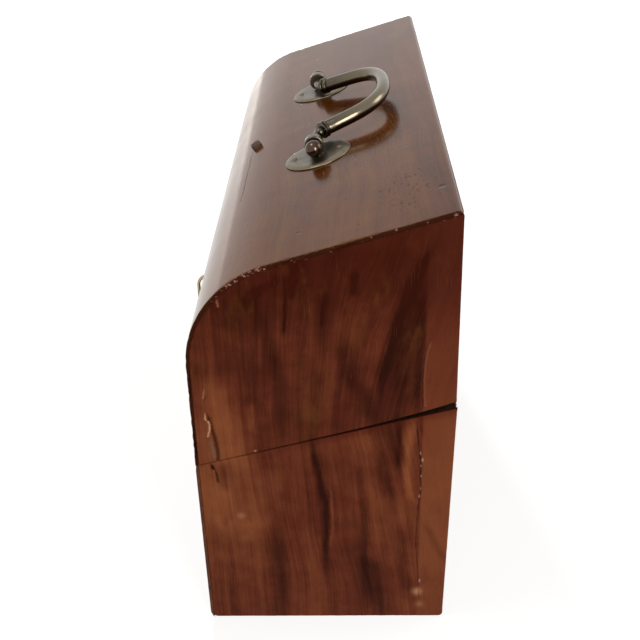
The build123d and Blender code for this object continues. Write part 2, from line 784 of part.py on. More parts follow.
# Hook: a hub with journals in plate and cap and a crescent that sweeps through the eye.
hub_front_y = plate_back_y + hub_end_gap
hub_back_y = lock_back_y - lock_cap_t - hub_end_gap
hook = rod_y(hub_r, hub_front_y, hub_back_y, lock_x, lock_z)
hook += rod_y(front_journal_r, front_inner_y, hub_front_y, lock_x, lock_z)
hook += rod_y(rear_journal_r, hub_back_y, lock_back_y, lock_x, lock_z)
lead_a = radians(hook_lead_angle)
tail_a = radians(hook_tail_angle)
mean_a = (lead_a + tail_a) / 2


def polar(radius, angle):
    return (radius * cos(angle), radius * sin(angle))


crescent = make_face(
    Curve()
    + [
        ThreePointArc(polar(hook_out_r, lead_a), polar(hook_out_r, mean_a), polar(hook_out_r, tail_a)),
        Line(polar(hook_out_r, tail_a), polar(hook_in_r, tail_a)),
        ThreePointArc(polar(hook_in_r, tail_a), polar(hook_in_r, mean_a), polar(hook_in_r, lead_a)),
        Line(polar(hook_in_r, lead_a), polar(hook_out_r, lead_a)),
    ]
)
arm_a = radians(hook_tail_angle - 9)
arm_mid = polar((hub_r + hook_out_r) / 2 - 0.5, arm_a)
arm_long = hook_out_r - hub_r + 1
arm = Pos(*arm_mid) * Rot(0, 0, hook_tail_angle - 9) * Rectangle(arm_long, hook_arm_w)
eye_mid = (lid_rim(tongue_top_y) - lock_z - (hook_in_r + hook_out_r) / 2) / cos(rise)
hook_mid_y = tongue_top_y + eye_mid * sin(rise)
hook_frame = Plane(
    origin=(lock_x, hook_mid_y + hook_t / 2, lock_z), x_dir=(1, 0, 0), z_dir=(0, -1, 0)
)
hook += extrude(hook_frame * (crescent + arm), amount=hook_t, dir=(0, -1, 0))
socket = Pos(lock_x, front_inner_y, lock_z) * Box(
    drive_square, drive_depth, drive_square, align=(mid, low, mid)
)
hook -= socket
parts["lock_hook"] = hook

# Key: square end, shank, collar and an oblong bow with rounded corners.
bow_centre_y = lid_front_y - key_reach + bow_half_w
shank_front_y = bow_centre_y + bow_half_w - bow_bar / 2
key = socket + rod_y(key_shank_r, shank_front_y, front_inner_y, lock_x, lock_z)
escutcheon_y = front_face(lock_z) - escutcheon_t + escutcheon_inlay
collar_back_y = escutcheon_y - 2 * swing_gap
key += rod_y(key_collar_r, collar_back_y - key_collar_t, collar_back_y, lock_x, lock_z)
bow_face = RectangleRounded(2 * bow_half_w, 2 * bow_half_h, bow_corner_r)
bow_face -= RectangleRounded(
    2 * (bow_half_w - bow_bar), 2 * (bow_half_h - bow_bar), bow_corner_r - bow_bar
)
bow_frame = Plane(
    origin=(lock_x - bow_t / 2, bow_centre_y, lock_z), x_dir=(0, 1, 0), z_dir=(1, 0, 0)
)
bow = extrude(bow_frame * bow_face, amount=bow_t, dir=(1, 0, 0))
bow = fillet(bow.edges(), bow_edge_r)
key += bow
parts["key"] = key

escutcheon = rod_y(escutcheon_r, escutcheon_y, escutcheon_y + escutcheon_t, lock_x, lock_z)
rim_edge = escutcheon.edges().filter_by(GeomType.CIRCLE).sort_by(Axis.Y)[0]
escutcheon = fillet(rim_edge, 0.35 * escutcheon_t)
base_front_veneer -= escutcheon
keyway = rod_y(key_hole_r, lid_front_y - length, front_inner_y, lock_x, lock_z)
escutcheon -= keyway
escutcheon_pins = []
pin_out = (key_hole_r + escutcheon_r) / 2
for x in (lock_x - pin_out, lock_x + pin_out):
    pin = rod_y(escutcheon_pin_r, escutcheon_y, escutcheon_y + escutcheon_pin_long, x, lock_z)
    head_y = escutcheon_y - 0.6 * escutcheon_pin_r
    pin += rod_y(1.7 * escutcheon_pin_r, head_y, escutcheon_y, x, lock_z)
    escutcheon -= pin
    escutcheon_pins.append(pin)
base_front_veneer -= keyway
base_front_board -= keyway
for pin in escutcheon_pins:
    base_front_veneer -= pin
    base_front_board -= pin
parts["escutcheon"] = escutcheon
parts["escutcheon_pins"] = Compound(children=escutcheon_pins)

parts["base_front_board"] = base_front_board
parts["base_back_board"] = base_back_board
parts["base_front_veneer"] = base_front_veneer
parts["base_back_veneer"] = base_back_veneer
parts["lid_front_board"] = lid_front_board
parts["lid_nose_block"] = lid_nose_block
parts["lid_top_board"] = lid_top_board
parts["lid_back_board"] = lid_back_board
parts["lid_top_sheet"] = lid_top_sheet

for name, shape in sorted(parts.items()):
    export_step(shape, "parts/" + name + ".step")
print(len(parts), "parts")
print("hinge axis", round(barrel_y, 4), round(barrel_z, 4))
print("bail axis", handle_x, round(pivot_y, 4), round(pivot_z, 4))
print("key axis", lock_x, lock_z)
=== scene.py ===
"""Decanter box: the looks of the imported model, with one operator for each piece or group of pieces.

The shapes are worked out in millimetres, as on a drawing, and piece() writes them in metres.
"""

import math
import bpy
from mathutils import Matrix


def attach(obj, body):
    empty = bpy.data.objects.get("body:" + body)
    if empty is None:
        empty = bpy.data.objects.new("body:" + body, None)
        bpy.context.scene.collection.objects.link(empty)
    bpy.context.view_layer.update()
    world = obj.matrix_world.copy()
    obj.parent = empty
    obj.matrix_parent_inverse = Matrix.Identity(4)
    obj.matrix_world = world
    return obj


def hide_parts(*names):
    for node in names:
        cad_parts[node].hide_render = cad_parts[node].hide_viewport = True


bl_info = {
    "name": "Decanter Box",
    "version": (1, 0, 0),
    "blender": (4, 5, 0),
    "location": "3D View > Sidebar > Decanter Box",
    "description": "Dresses a decanter box in worn veneers, aged brass and cloth",
    "category": "Object",
}

import bmesh
import bpy
import numpy as np
from mathutils import Matrix, Vector, noise
from mathutils.geometry import delaunay_2d_cdt
from mathutils.kdtree import KDTree

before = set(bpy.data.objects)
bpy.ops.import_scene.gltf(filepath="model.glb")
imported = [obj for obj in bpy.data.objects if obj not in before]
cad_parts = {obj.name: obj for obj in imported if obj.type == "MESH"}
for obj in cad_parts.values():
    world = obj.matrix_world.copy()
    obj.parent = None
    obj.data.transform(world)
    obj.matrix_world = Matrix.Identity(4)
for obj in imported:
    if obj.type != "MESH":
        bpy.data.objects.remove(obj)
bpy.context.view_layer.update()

MM = 0.001
HALF = 205.5
SLOPE = math.radians(16.44)
NOSE_Y = -9.0
NOSE_R = 61.2
LID_TOP = (70.6, 262.5)
LID_BACK_LOW_Y = 71.4
FRONT_Y = -70.2
FOOT_Y = 69.3
RIM_BACK_Y = 72.0
RIM_FRONT_Z = 112
RIM_RISE = 37
FRONT_LEAN = 0.9
BACK_LEAN = 2.7
SHEET_T = 2.0
TOP_BOARD_T = 10.0
WELL_HALF = 192.3
WELL_FRONT_Y = -60.2
WELL_BACK_Y = 55.5
FLOOR_Z = 10.0
DIVIDER_X = 65.4
DIVIDER_T = 8.0
NOSE_Z = (
    LID_TOP[1]
    - (LID_TOP[0] - NOSE_Y + NOSE_R * math.sin(SLOPE)) * math.tan(SLOPE)
    - NOSE_R * math.cos(SLOPE)
)
HANDLE_X = 2.0
HANDLE_FROM_BACK = 76.1
POST_HALF_GAP = 67.0
PLATE_T = 1.6
PIVOT_HEIGHT = 7.6
BAIL_RAISE = math.radians(5.0)
ROD_R = 4.48
COLLAR_R = 5.3
BEAD_R = 3.4
NECK_R = 2.7
PIN_R = 2.0
KNOB_R = 5.1
KNOB_SEAT = 70.35
LOCK_X = -6.0
LOCK_Z = 103.0
KEYHOLE_R = 8.5
NUT_HOLE_R = 8.5
PAD_T = 2.6
SIDES = (("left", -1), ("right", 1))
STUD_X = 7.0
STUD_TURN = math.radians(16)
STUD_ANGLE = math.radians(125)
STUD_HALF = 3.5
STUD_HEIGHT = 3.5


def paint(red, green, blue):
    """A colour given as it shows on a screen, from 0 to 255, in the scene's linear light."""
    shown = [c / 255 for c in (red, green, blue)]
    return tuple(c / 12.92 if c <= 0.04045 else ((c + 0.055) / 1.055) ** 2.4 for c in shown)


# Sizes and colours that a user would change.


def colour_setting(name, description, *shown):
    return bpy.props.FloatVectorProperty(
        name=name, description=description, subtype="COLOR", default=paint(*shown), min=0, max=1
    )


def length_setting(name, description, default, low, high):
    return bpy.props.FloatProperty(
        name=name, description=description, unit="LENGTH", default=default, min=low, max=high
    )


class BoxColours(bpy.types.PropertyGroup):
    """Colours of the box's woods, metals and cloth."""

    veneer_dark: colour_setting("Veneer dark", "Darkest figure of the veneers", 44, 16, 9)
    veneer_mid: colour_setting("Veneer mid", "Main colour of the veneers", 97, 46, 30)
    veneer_light: colour_setting("Veneer light", "Lightest figure of the veneers", 136, 79, 48)
    board: colour_setting("Boards", "Bare wood of the boards under the veneers", 126, 84, 52)
    brass: colour_setting("Handle brass", "Tarnished brass of the handle", 92, 82, 66)
    rubbed: colour_setting("Rubbed brass", "Brass where hands rub it bright", 124, 113, 94)
    cloth: colour_setting("Cloth", "Velvet of the wells and the lid", 92, 26, 30)


class BoxWear(bpy.types.PropertyGroup):
    """Mesh fineness and wear of the box."""

    net: length_setting("Net", "Spacing of the points on worn faces", 0.0014, 0.0008, 0.01)
    edge: length_setting("Edge", "Rounding of the worn outer edges", 0.0009, 0.0001, 0.002)
    chips: length_setting("Chips", "Depth of the nicks along the lid's upper edges", 0.0008, 0, 0.0015)
    crack: length_setting("Cracks", "Depth of the cracks at the glue lines", 0.0008, 0, 0.001)
    gloss: bpy.props.FloatProperty(
        name="Polish", description="Roughness of the polished veneers", subtype="FACTOR",
        default=0.16, min=0.02, max=1)


# Shader maths.


def joined(operation, swapped=False):
    """A method of Wire that adds the Math node for two values."""

    def method(self, other):
        return self.math(operation, *((other, self) if swapped else (self, other)))

    return method


class Wire:
    """A node's output. Sums and products of wires and numbers add their Math nodes."""

    __add__, __radd__ = joined("ADD"), joined("ADD", True)
    __sub__, __rsub__ = joined("SUBTRACT"), joined("SUBTRACT", True)
    __mul__, __rmul__ = joined("MULTIPLY"), joined("MULTIPLY", True)
    __truediv__, __rtruediv__ = joined("DIVIDE"), joined("DIVIDE", True)
    __pow__ = joined("POWER")
    # The larger and the smaller of the two.
    above, below = joined("MAXIMUM"), joined("MINIMUM")

    def __init__(self, maker, socket):
        self.maker = maker
        self.socket = socket

    def math(self, operation, *inputs):
        return self.maker.node("ShaderNodeMath", {"operation": operation}, dict(enumerate(inputs)))

    def __abs__(self):
        return self.math("ABSOLUTE", self)

    def step(self, low, high):
        """0 under low, 1 over high and a smooth rise between them."""
        ranges = {"Value": self, "From Min": low, "From Max": high, "To Min": 0.0, "To Max": 1.0}
        return self.maker.node("ShaderNodeMapRange", {"interpolation_type": "SMOOTHSTEP"}, ranges)

    def bell(self, width):
        """1 where the value is 0, fading out at about the width given."""
        scaled = self / width
        return self.math("POWER", math.e, scaled * scaled * -1)


class Finish:
    """A material, or the world, built from nodes, with the object's own coordinates in millimetres."""

    def __init__(self, name, world=None):
        self.owner = world or bpy.data.materials.new(name)
        self.owner.use_nodes = True
        self.tree = self.owner.node_tree
        self.tree.nodes.clear()
        if world:
            return
        place = self.node("ShaderNodeTexCoord", output="Object")
        scaled = self.node(
            "ShaderNodeVectorMath", {"operation": "SCALE"}, {"Vector": place, "Scale": 1 / MM}
        )
        self.x, self.y, self.z = [
            self.node("ShaderNodeSeparateXYZ", sockets={"Vector": scaled}, output=axis)
            for axis in "XYZ"
        ]

    def node(self, kind, settings=None, sockets=None, output=0):
        """Adds a node: its settings first, then the values and links of its sockets."""
        made = self.tree.nodes.new(kind)
        for key, value in (settings or {}).items():
            if key == "stops":
                self.set_stops(made.color_ramp, value)
            elif key == "curve":
                self.set_curve(made.mapping, value)
            else:
                setattr(made, key, value)
        for key, value in (sockets or {}).items():
            if isinstance(value, Wire):
                self.tree.links.new(value.socket, made.inputs[key])
            else:
                made.inputs[key].default_value = value
        return Wire(self, made.outputs[output])

    def set_stops(self, ramp, stops):
        while len(ramp.elements) < len(stops):
            ramp.elements.new(1.0)
        for element, (position, colour) in zip(ramp.elements, stops):
            element.position = position
            element.color = (*colour, 1.0)

    def set_curve(self, mapping, points):
        line = mapping.curves[0]
        for place, value in points[1:-1]:
            line.points.new(place, value)
        line.points[0].location = points[0]
        line.points[-1].location = points[-1]
        mapping.update()

    def cloud(self, x, y, z, detail=3.0, roughness=0.55):
        """Noise around 0.5, at one bump for each unit of the scaled coordinates."""
        place = self.node("ShaderNodeCombineXYZ", sockets={"X": x, "Y": y, "Z": z})
        sockets = {"Vector": place, "Scale": 1.0, "Detail": detail, "Roughness": roughness}
        return self.node("ShaderNodeTexNoise", sockets=sockets)

    def grain(self, scale, detail=3.0, roughness=0.55):
        """Noise of the same scale along the three axes."""
        return self.cloud(self.x * scale, self.y * scale, self.z * scale, detail, roughness)

    def follow(self, value, points):
        """The height, at value, of a smooth line through the points (value, height)."""
        low, high = points[0][0], points[-1][0]
        heights = [height for _, height in points]
        bottom, span = min(heights), max(max(heights) - min(heights), 1e-3)
        shares = [((a - low) / (high - low), (b - bottom) / span) for a, b in points]
        share = (value - low) / (high - low)
        line = self.node("ShaderNodeFloatCurve", {"curve": shares}, {"Value": share.above(0.0).below(1.0)})
        return line * span + bottom

    def way_to(self, **place):
        """Distance from the place given on two of the axes, such as x=1, y=2."""
        first, second = [getattr(self, axis) - value for axis, value in place.items()]
        return (first * first + second * second) ** 0.5

    def pick(self, factor, first, second):
        """A number between two."""
        return first + (second - first) * factor

    def mix(self, factor, first, second, blend="MIX"):
        """A colour between two, or their blend."""
        pair = [c if isinstance(c, Wire) else (*c, 1.0) for c in (first, second)]
        settings = {"data_type": "RGBA", "blend_type": blend}
        return self.node("ShaderNodeMix", settings, {0: factor, 6: pair[0], 7: pair[1]}, output=2)

    def under(self, colour, *coats):
        """The colour under coats, each a strength and a shade as it shows on a screen."""
        for strength, shade in coats:
            colour = self.mix(strength, colour, paint(*shade))
        return colour

    def ramp(self, value, stops):
        return self.node("ShaderNodeValToRGB", {"stops": stops}, {"Fac": value})

    def bump(self, height):
        """Turns a height in millimetres into a normal."""
        return self.node("ShaderNodeBump", sockets={"Height": height, "Distance": MM, "Strength": 1.0})

    def shade(self, **sockets):
        """Ends the material in one Principled shader."""
        named = {key.replace("_", " "): value for key, value in sockets.items()}
        return self.end(self.node("ShaderNodeBsdfPrincipled", sockets=named))

    def end(self, shader, kind="Material"):
        """Gives the shader to the output."""
        out = self.tree.nodes.new("ShaderNodeOutput" + kind)
        self.tree.links.new(shader.socket, out.inputs["Surface"])
        return self.owner


# Finishes.


def figure(m, across, along, depth, seed, lean=0.0, bold=1.0):
    """The veneer's tone, from 0 dark to 1 light, with its fine fibre and pores."""
    drift = m.cloud(across * 0.013, along * 0.005, depth * 0.01 + seed, 2.0)
    ripple = m.cloud(across * 0.06, along * 0.012, depth * 0.02 + seed + 3.1, 2.0)
    u = across + (drift - 0.5) * 22 + (ripple - 0.5) * 4 + along * lean
    patch = m.cloud(u * 0.03, along * 0.008, depth * 0.01 + seed + 11.0, 3.0, 0.55)
    bands = m.cloud(u * 0.085, along * 0.003, depth * 0.01 + seed + 7.7, 4.0, 0.6)
    stripes = m.cloud(u * 0.38, along * 0.008, depth * 0.02 + seed + 1.3, 4.0, 0.62)
    fibre = m.cloud(u * 2.0, along * 0.045, depth * 0.1 + seed, 3.0, 0.7)
    cross = m.cloud(across * 0.05, along * 0.06, depth * 0.02 + seed + 5.0, 4.0, 0.6)
    tone = (patch - 0.5) * 0.7 + (bands - 0.5) * 0.75 + (stripes - 0.5) * 0.8
    tone = tone * bold + (fibre - 0.5) * 0.35 + (cross - 0.5) * 0.45 + 0.5
    pores = m.cloud(u * 3.4, along * 0.12, depth * 0.5 + seed, 2.0, 0.6).step(0.62, 0.72)
    return tone, fibre, pores


def veneer_colour(m, look, tone):
    dark, mid, light = [tuple(c) for c in (look.veneer_dark, look.veneer_mid, look.veneer_light)]
    deep = tuple(0.55 * a + 0.45 * b for a, b in zip(dark, mid))
    warm = tuple(0.6 * a + 0.4 * b for a, b in zip(mid, light))
    stops = [(0.08, dark), (0.33, deep), (0.5, mid), (0.68, warm), (0.95, light)]
    return m.ramp(tone, stops)


# The right end's figure, as lines through (height, depth) points, each with a width and a strength.
END_STREAKS = [
    ([(160, 31.5), (171, 33.4), (192, 38.1), (203, 40.6), (218, 45.3), (246, 58.5)], 2.4, 0.8),
    ([(150, 40.0), (175, 41.0), (200, 43.5), (228, 49.0)], 7.5, 0.45),
    ([(196, -18.8), (208, -17.4), (222, -16.9)], 0.8, 0.8),
    ([(217, -12.0), (228, -11.1), (238, -10.6)], 3.6, 0.5),
    ([(217, 17.8), (222, 17.3), (230, 18.0)], 2.2, 0.5),
    ([(200, 1.2), (206, 1.8), (219, 2.6)], 0.9, 0.5),
    ([(150, 50.8), (165, 50.6), (185, 51.2), (212, 51.5)], 2.2, 0.5),
    ([(140, 27.0), (155, 24.0), (172, 14.0), (190, 12.0)], 5.5, 0.35),
    ([(140, -22.0), (160, -21.0), (180, -25.0), (215, -34.0)], 4.0, 0.25),
    ([(200, -46.0), (215, -36.0), (226, -20.0)], 5.0, 0.4),
    ([(40, 0.5), (54, 0.4), (74, 1.4), (99, -1.6), (128, -6.2)], 1.8, 0.6),
    ([(84, 40.0), (104, 35.0), (125, 34.0), (141, 32.0)], 6.0, 0.4),
    ([(24, 24.0), (50, 23.2), (80, 22.3), (110, 19.8)], 2.6, 0.4),
    ([(112, 41.5), (125, 41.2), (143, 40.6)], 2.4, 0.6),
    ([(2, 33.0), (20, 30.0), (44, 27.0)], 7.0, 0.4),
    ([(20, 48.0), (45, 45.0), (72, 47.0)], 4.0, 0.35),
    ([(43, 69.3), (55, 63.8), (70, 57.1)], 2.4, 0.55),
    ([(96, -54.0), (106, -54.6), (114, -54.5)], 2.8, 0.4),
    ([(4, -55.0), (40, -58.0), (70, -63.0)], 5.0, 0.25),
    ([(10, -22.0), (50, -26.0), (90, -23.0)], 6.0, 0.2),
]
END_GLOWS = [
    ([(86, 52.0), (108, 46.5), (122, 46.6), (139, 48.6)], 2.7, 0.75),
    ([(30, 62.0), (80, 62.5), (140, 62.0)], 7.0, 0.2),
    ([(112, -48.0), (130, -50.0), (148, -55.0), (164, -60.0)], 9.5, 0.42),
    ([(64, -57.0), (80, -56.0), (104, -55.0)], 9.0, 0.25),
    ([(58, -44.0), (66, -43.5), (74, -44.5)], 6.0, 0.35),
    ([(134, -36.0), (143, -38.0), (152, -37.0)], 3.0, 0.4),
    ([(55, 30.0), (75, 31.0), (98, 30.0)], 3.5, 0.12),
    ([(60, -38.0), (85, -34.0), (110, -38.0)], 9.0, 0.2),
    ([(172, 2.0), (190, -3.0), (214, -4.0)], 4.0, 0.18),
    ([(60, 3.8), (78, 4.8), (96, 3.2)], 0.9, 0.45),
    ([(0, -50.0), (30, -54.0), (60, -60.0)], 8.0, 0.2),
]
# Damage at the glue lines, in the same way, with a colour; the second line is a painted shadow beside the
# raised sliver of the lid's front crack.
END_DAMAGE_AND_SHADOW = [
    ([(100.5, -58.2), (107.5, -59.0), (110.5, -60.2)], 0.75, 0.8, (46, 21, 12)),
    # Painted shadow beside the raised sliver of the lid's front crack.
    ([(116, -57.2), (121.7, -57.0), (129.7, -57.7), (136.3, -59.1), (147, -61.0)], 1.15, 0.8, (46, 22, 13)),
    ([(109.2, -60.3), (112, -60.9), (115.2, -61.5)], 1.2, 0.97, (20, 7, 5)),
    ([(117.6, -58.9), (123, -59.7), (131, -60.8)], 0.85, 0.9, (110, 82, 68)),
    (
        [(131.5, -61.9), (135, -60.8), (137.6, -60.3), (141, -60.6), (144, -62.3), (148, -61.2)],
        0.5, 0.85, (196, 142, 108),
    ),
    ([(156, -62.5), (160, -62.0), (163.5, -61.5)], 0.45, 0.6, (166, 110, 78)),
    ([(155.5, -61.6), (157.5, -61.3), (160, -61.2)], 0.4, 0.7, (52, 24, 14)),
    ([(211, -50.9), (214, -51.2), (217.5, -52.0)], 0.6, 0.75, (150, 88, 66)),
    (
        [(150, 54.9), (158.5, 54.2), (168.5, 54.0), (179, 54.5), (186, 55.8), (191, 58.0)],
        0.6, 0.42, (142, 84, 62),
    ),
    ([(134, 53.3), (137, 53.0), (140, 52.9)], 0.5, 0.6, (60, 28, 18)),
]
# Painted glints as pale specks along the back crack, as (height, depth), and pale scars, as (depth, height,
# size, strength).
PAINTED_GLINTS = (
    (115.4, 54.4), (104.2, 53.9), (111.0, 53.8), (95.5, 53.9), (90.2, 53.3), (28.0, 55.0), (119.8, 53.2),
)
END_SCARS = (
    (-46.9, 77.1, 2.2, 0.4), (53.8, 19.6, 2.7, 0.8), (55.5, 9.5, 2.4, 0.35), (-36.5, 122.0, 0.7, 0.8),
    (-47.9, 222.0, 0.8, 0.4),
)
# Cracks at the glue lines, as (height, depth) points.
FRONT_CRACK_LID = [
    (115.5, -58.4), (121.7, -58.1), (129.7, -58.9), (136.3, -59.7), (141, -60.1), (147, -61.4),
]
FRONT_CRACK_BASE = [(100.6, -58.3), (107.5, -59.0), (110, -60.3), (112, -60.9)]
BACK_CRACK_LID = [(150, 53.6), (158, 53.2), (168, 53.0), (179, 53.5), (188, 54.8)]
BACK_CRACK_BASE = [
    (14, 54.6), (24, 54.2), (40, 53.2), (59, 51.9), (75, 52.4), (89, 53.2), (95, 53.8), (103, 53.3),
    (111, 53.7), (118, 52.7), (129, 51.6), (140, 50.6),
]


def streak_mask(m, across, along, points, width):
    """A soft streak across the figure that fades out beyond its two ends."""
    low, high = points[0][0], points[-1][0]
    soft = 0.2 * (high - low)
    middle = m.follow(along, points)
    fade = along.step(low - soft, low + soft) * (1 - along.step(high - soft, high + soft))
    return (across - middle).bell(width) * fade


def crack_mask(m, across, along, points, width):
    middle = m.follow(along, points)
    inside = along.step(points[0][0] - 0.5, points[0][0] + 0.5)
    inside = inside * (1 - along.step(points[-1][0] - 4, points[-1][0]))
    return (across - middle).bell(width) * inside


def rim_gap(m):
    """Height above the base's rim, in the slope of the box's opening."""
    return m.z - (m.y - FRONT_Y) * (RIM_RISE / (RIM_BACK_Y - FRONT_Y)) - RIM_FRONT_Z


def rim_shade(m):
    """Painted shade along the two rims, where lid and base meet, faint at the front."""
    gap = rim_gap(m)
    share = (m.y - FRONT_Y) / (RIM_BACK_Y - FRONT_Y)
    opening = share * 0.5 + share**5 * 3.4
    return gap.step(-0.9, -0.1) * (1 - (gap - opening).step(0.2, 1.0)) * (share.step(0.1, 0.6) * 0.7 + 0.3)


def end_finish(name, look, wear, seed, photographed):
    """Polished upright veneer broken at its two glue lines, with painted shadow and glints at its cracks
    and painted shade at the rims; the unseen end has less of each mark.
    """
    m = Finish(name)
    lid = rim_gap(m).step(0, 0.1)
    lean = m.pick(lid, m.y.step(-30, 60) * 0.1 + 0.05, m.y.step(-30, 60) * -0.2 - 0.02)
    tone, fibre, pores = figure(m, m.y + (m.z - 130) * lean, m.z, m.x, seed, bold=0.62)
    rough = m.cloud(m.y * 0.5, m.z * 0.12, m.x * 0.1, 3.0, 0.6) - 0.5
    wavy = m.y + rough * 2.4
    texture = m.cloud(m.y * 0.34, m.z * 0.015, seed, 4.0, 0.65)
    upper = m.z.step(178, 238) * (1 - m.y.step(20, 75) * 0.5)
    front = (1 - (m.y + rough * 6).step(-64, -30)) * m.z.step(15, 80) * (1 - m.z.step(125, 178))
    tone = tone - lid * 0.08 - upper * 0.2 + front * 0.26 - (0 if photographed else 0.14)
    dark = glow = 0.0
    for points, width, strength in END_STREAKS if photographed else END_STREAKS[8::2]:
        dark = 1 - (1 - dark) * (1 - streak_mask(m, wavy, m.z, points, width) * strength)
    for points, width, strength in END_GLOWS if photographed else END_GLOWS[3::2]:
        glow = (streak_mask(m, wavy, m.z, points, width) * strength).above(glow)
    tone = tone + glow * 0.5 - dark * (0.3 + texture * 0.6)
    strip = (wavy - rough * 1.6).step(53.2, 55.0)
    strip_tone = 0.8 - m.z.step(100, 175) * 0.24 - m.z.step(175, 225) * 0.2
    strip_tone = strip_tone - (1 - m.z.step(5, 60)) * 0.12
    tone = tone + strip * (strip_tone - tone) * 0.75
    bloom = m.cloud(wavy * 0.05, m.z * 0.022, seed + 4.0, 4.0, 0.6)
    colour = m.under(
        veneer_colour(m, look, tone),
        (pores * 0.3, (38, 15, 8)),
        (dark * 0.35, (34, 17, 12)),
        (upper * 0.5, (62, 17, 7)),
        (bloom.step(0.52, 0.72) * 0.4, (104, 60, 30)),
        ((1 - bloom).step(0.52, 0.7) * 0.3, (74, 26, 20)),
    )
    colour, damage_and_shadow = glue_line_damage(m, colour, rough, photographed)
    for y, z, size, strength in END_SCARS if photographed else END_SCARS[:1]:
        scar = (m.way_to(y=y, z=z) + rough * 1.5).bell(size) * strength
        colour = m.under(colour, (scar, (178, 122, 90)))
    scratches = m.cloud(m.y * 2.6, m.z * 0.05, 5.0, 1.0).step(0.66, 0.7)
    scratches = scratches * m.cloud(m.y * 0.05, m.z * 0.06, 6.0, 1.0).step(0.5, 0.6)
    # Painted shade: the base's end is darkened just under the lid's rim, and rim_shade darkens the gap
    # where lid and base meet.
    below = rim_gap(m).step(-6.0, -1.0) * (1 - lid) * m.y.step(-60, 0)
    colour = m.under(
        edge_wear(m, colour),
        (scratches * 0.2, (140, 84, 58)),
        (rim_shade(m) * 0.9, (26, 10, 8)),
        (below * 0.4, (70, 24, 14)),
    )
    smudge = m.cloud(m.y * 0.05, m.z * 0.035, 1.0, 4.0, 0.6)
    height = fibre * 0.012 - pores * 0.02 - scratches * 0.01 - damage_and_shadow * 0.12 + (texture - 0.5) * 0.03
    return m.shade(
        Base_Color=colour,
        Roughness=(smudge - 0.5) * 0.3 + (wear.gloss + 0.1) + damage_and_shadow * 0.4 + pores * 0.12,
        Specular_IOR_Level=0.06,
        Specular_Tint=(1.0, 0.3, 0.2, 1.0),
        Normal=m.bump(height),
    )


def glue_line_damage(m, colour, rough, photographed):
    """Adds the cracks, missing slivers, a painted shadow beside the lid's front crack and painted glints as
    pale specks along the back crack; gives the colour and the mask of the cracks, slivers and shadow.
    """
    jagged = m.y + (m.cloud(m.y * 0.2, m.z * 0.55, 2.0, 3.0, 0.7) - 0.5) * 1.3
    broken = m.cloud(m.y * 0.6, m.z * 0.25, 4.0, 2.0, 0.6).step(0.38, 0.55)
    strength = (0.25 + m.z.step(60, 92) * 0.75) * broken
    damage_and_shadow = crack_mask(m, jagged, m.z, BACK_CRACK_BASE, 0.36) * strength
    colour = m.under(colour, (damage_and_shadow * 0.85, (48, 24, 16)))
    # Painted glints: pale specks along the base's back crack.
    for z, y in PAINTED_GLINTS:
        glint_speck = (m.y - y) * (m.y - y) * 2.2 + (m.z - z) * (m.z - z) * 0.4 + rough * 2.0
        colour = m.under(colour, (glint_speck.bell(0.5) * 0.55, (190, 160, 138)))
    for points, width, strength, shade in END_DAMAGE_AND_SHADOW:
        if photographed or shade[0] < 90:
            mask = crack_mask(m, jagged, m.z, points, width) * strength
            colour = m.under(colour, (mask, shade))
            damage_and_shadow = damage_and_shadow.above(mask)
    return colour, damage_and_shadow


def edge_wear(m, colour):
    """Adds pale chips and dark dirt to an end under the lid's upper edge."""
    out = m.way_to(y=NOSE_Y, z=NOSE_Z)
    over = (m.z - NOSE_Z) * math.cos(SLOPE) - (m.y - NOSE_Y) * math.sin(SLOPE)
    on_slope = over.step(0, 1) * (m.y - NOSE_Y + NOSE_R * math.sin(SLOPE)).step(0, 1)
    depth = m.pick(on_slope, out, over)
    edge = (depth - (NOSE_R - SHEET_T - 1.3)).step(0.0, 0.8) * m.z.step(NOSE_Z + 22, NOSE_Z + 34)
    chips = edge * m.cloud(m.y * 0.42, m.z * 0.4, 7.0, 4.0, 0.75).step(0.6, 0.66)
    dirt = edge * m.cloud(m.y * 0.3, m.z * 0.3, 3.0, 3.0, 0.7).step(0.3, 0.5) * (1 - chips)
    return m.under(colour, (chips * 0.75, (158, 104, 88)), (dirt * 0.6, (46, 18, 12)))


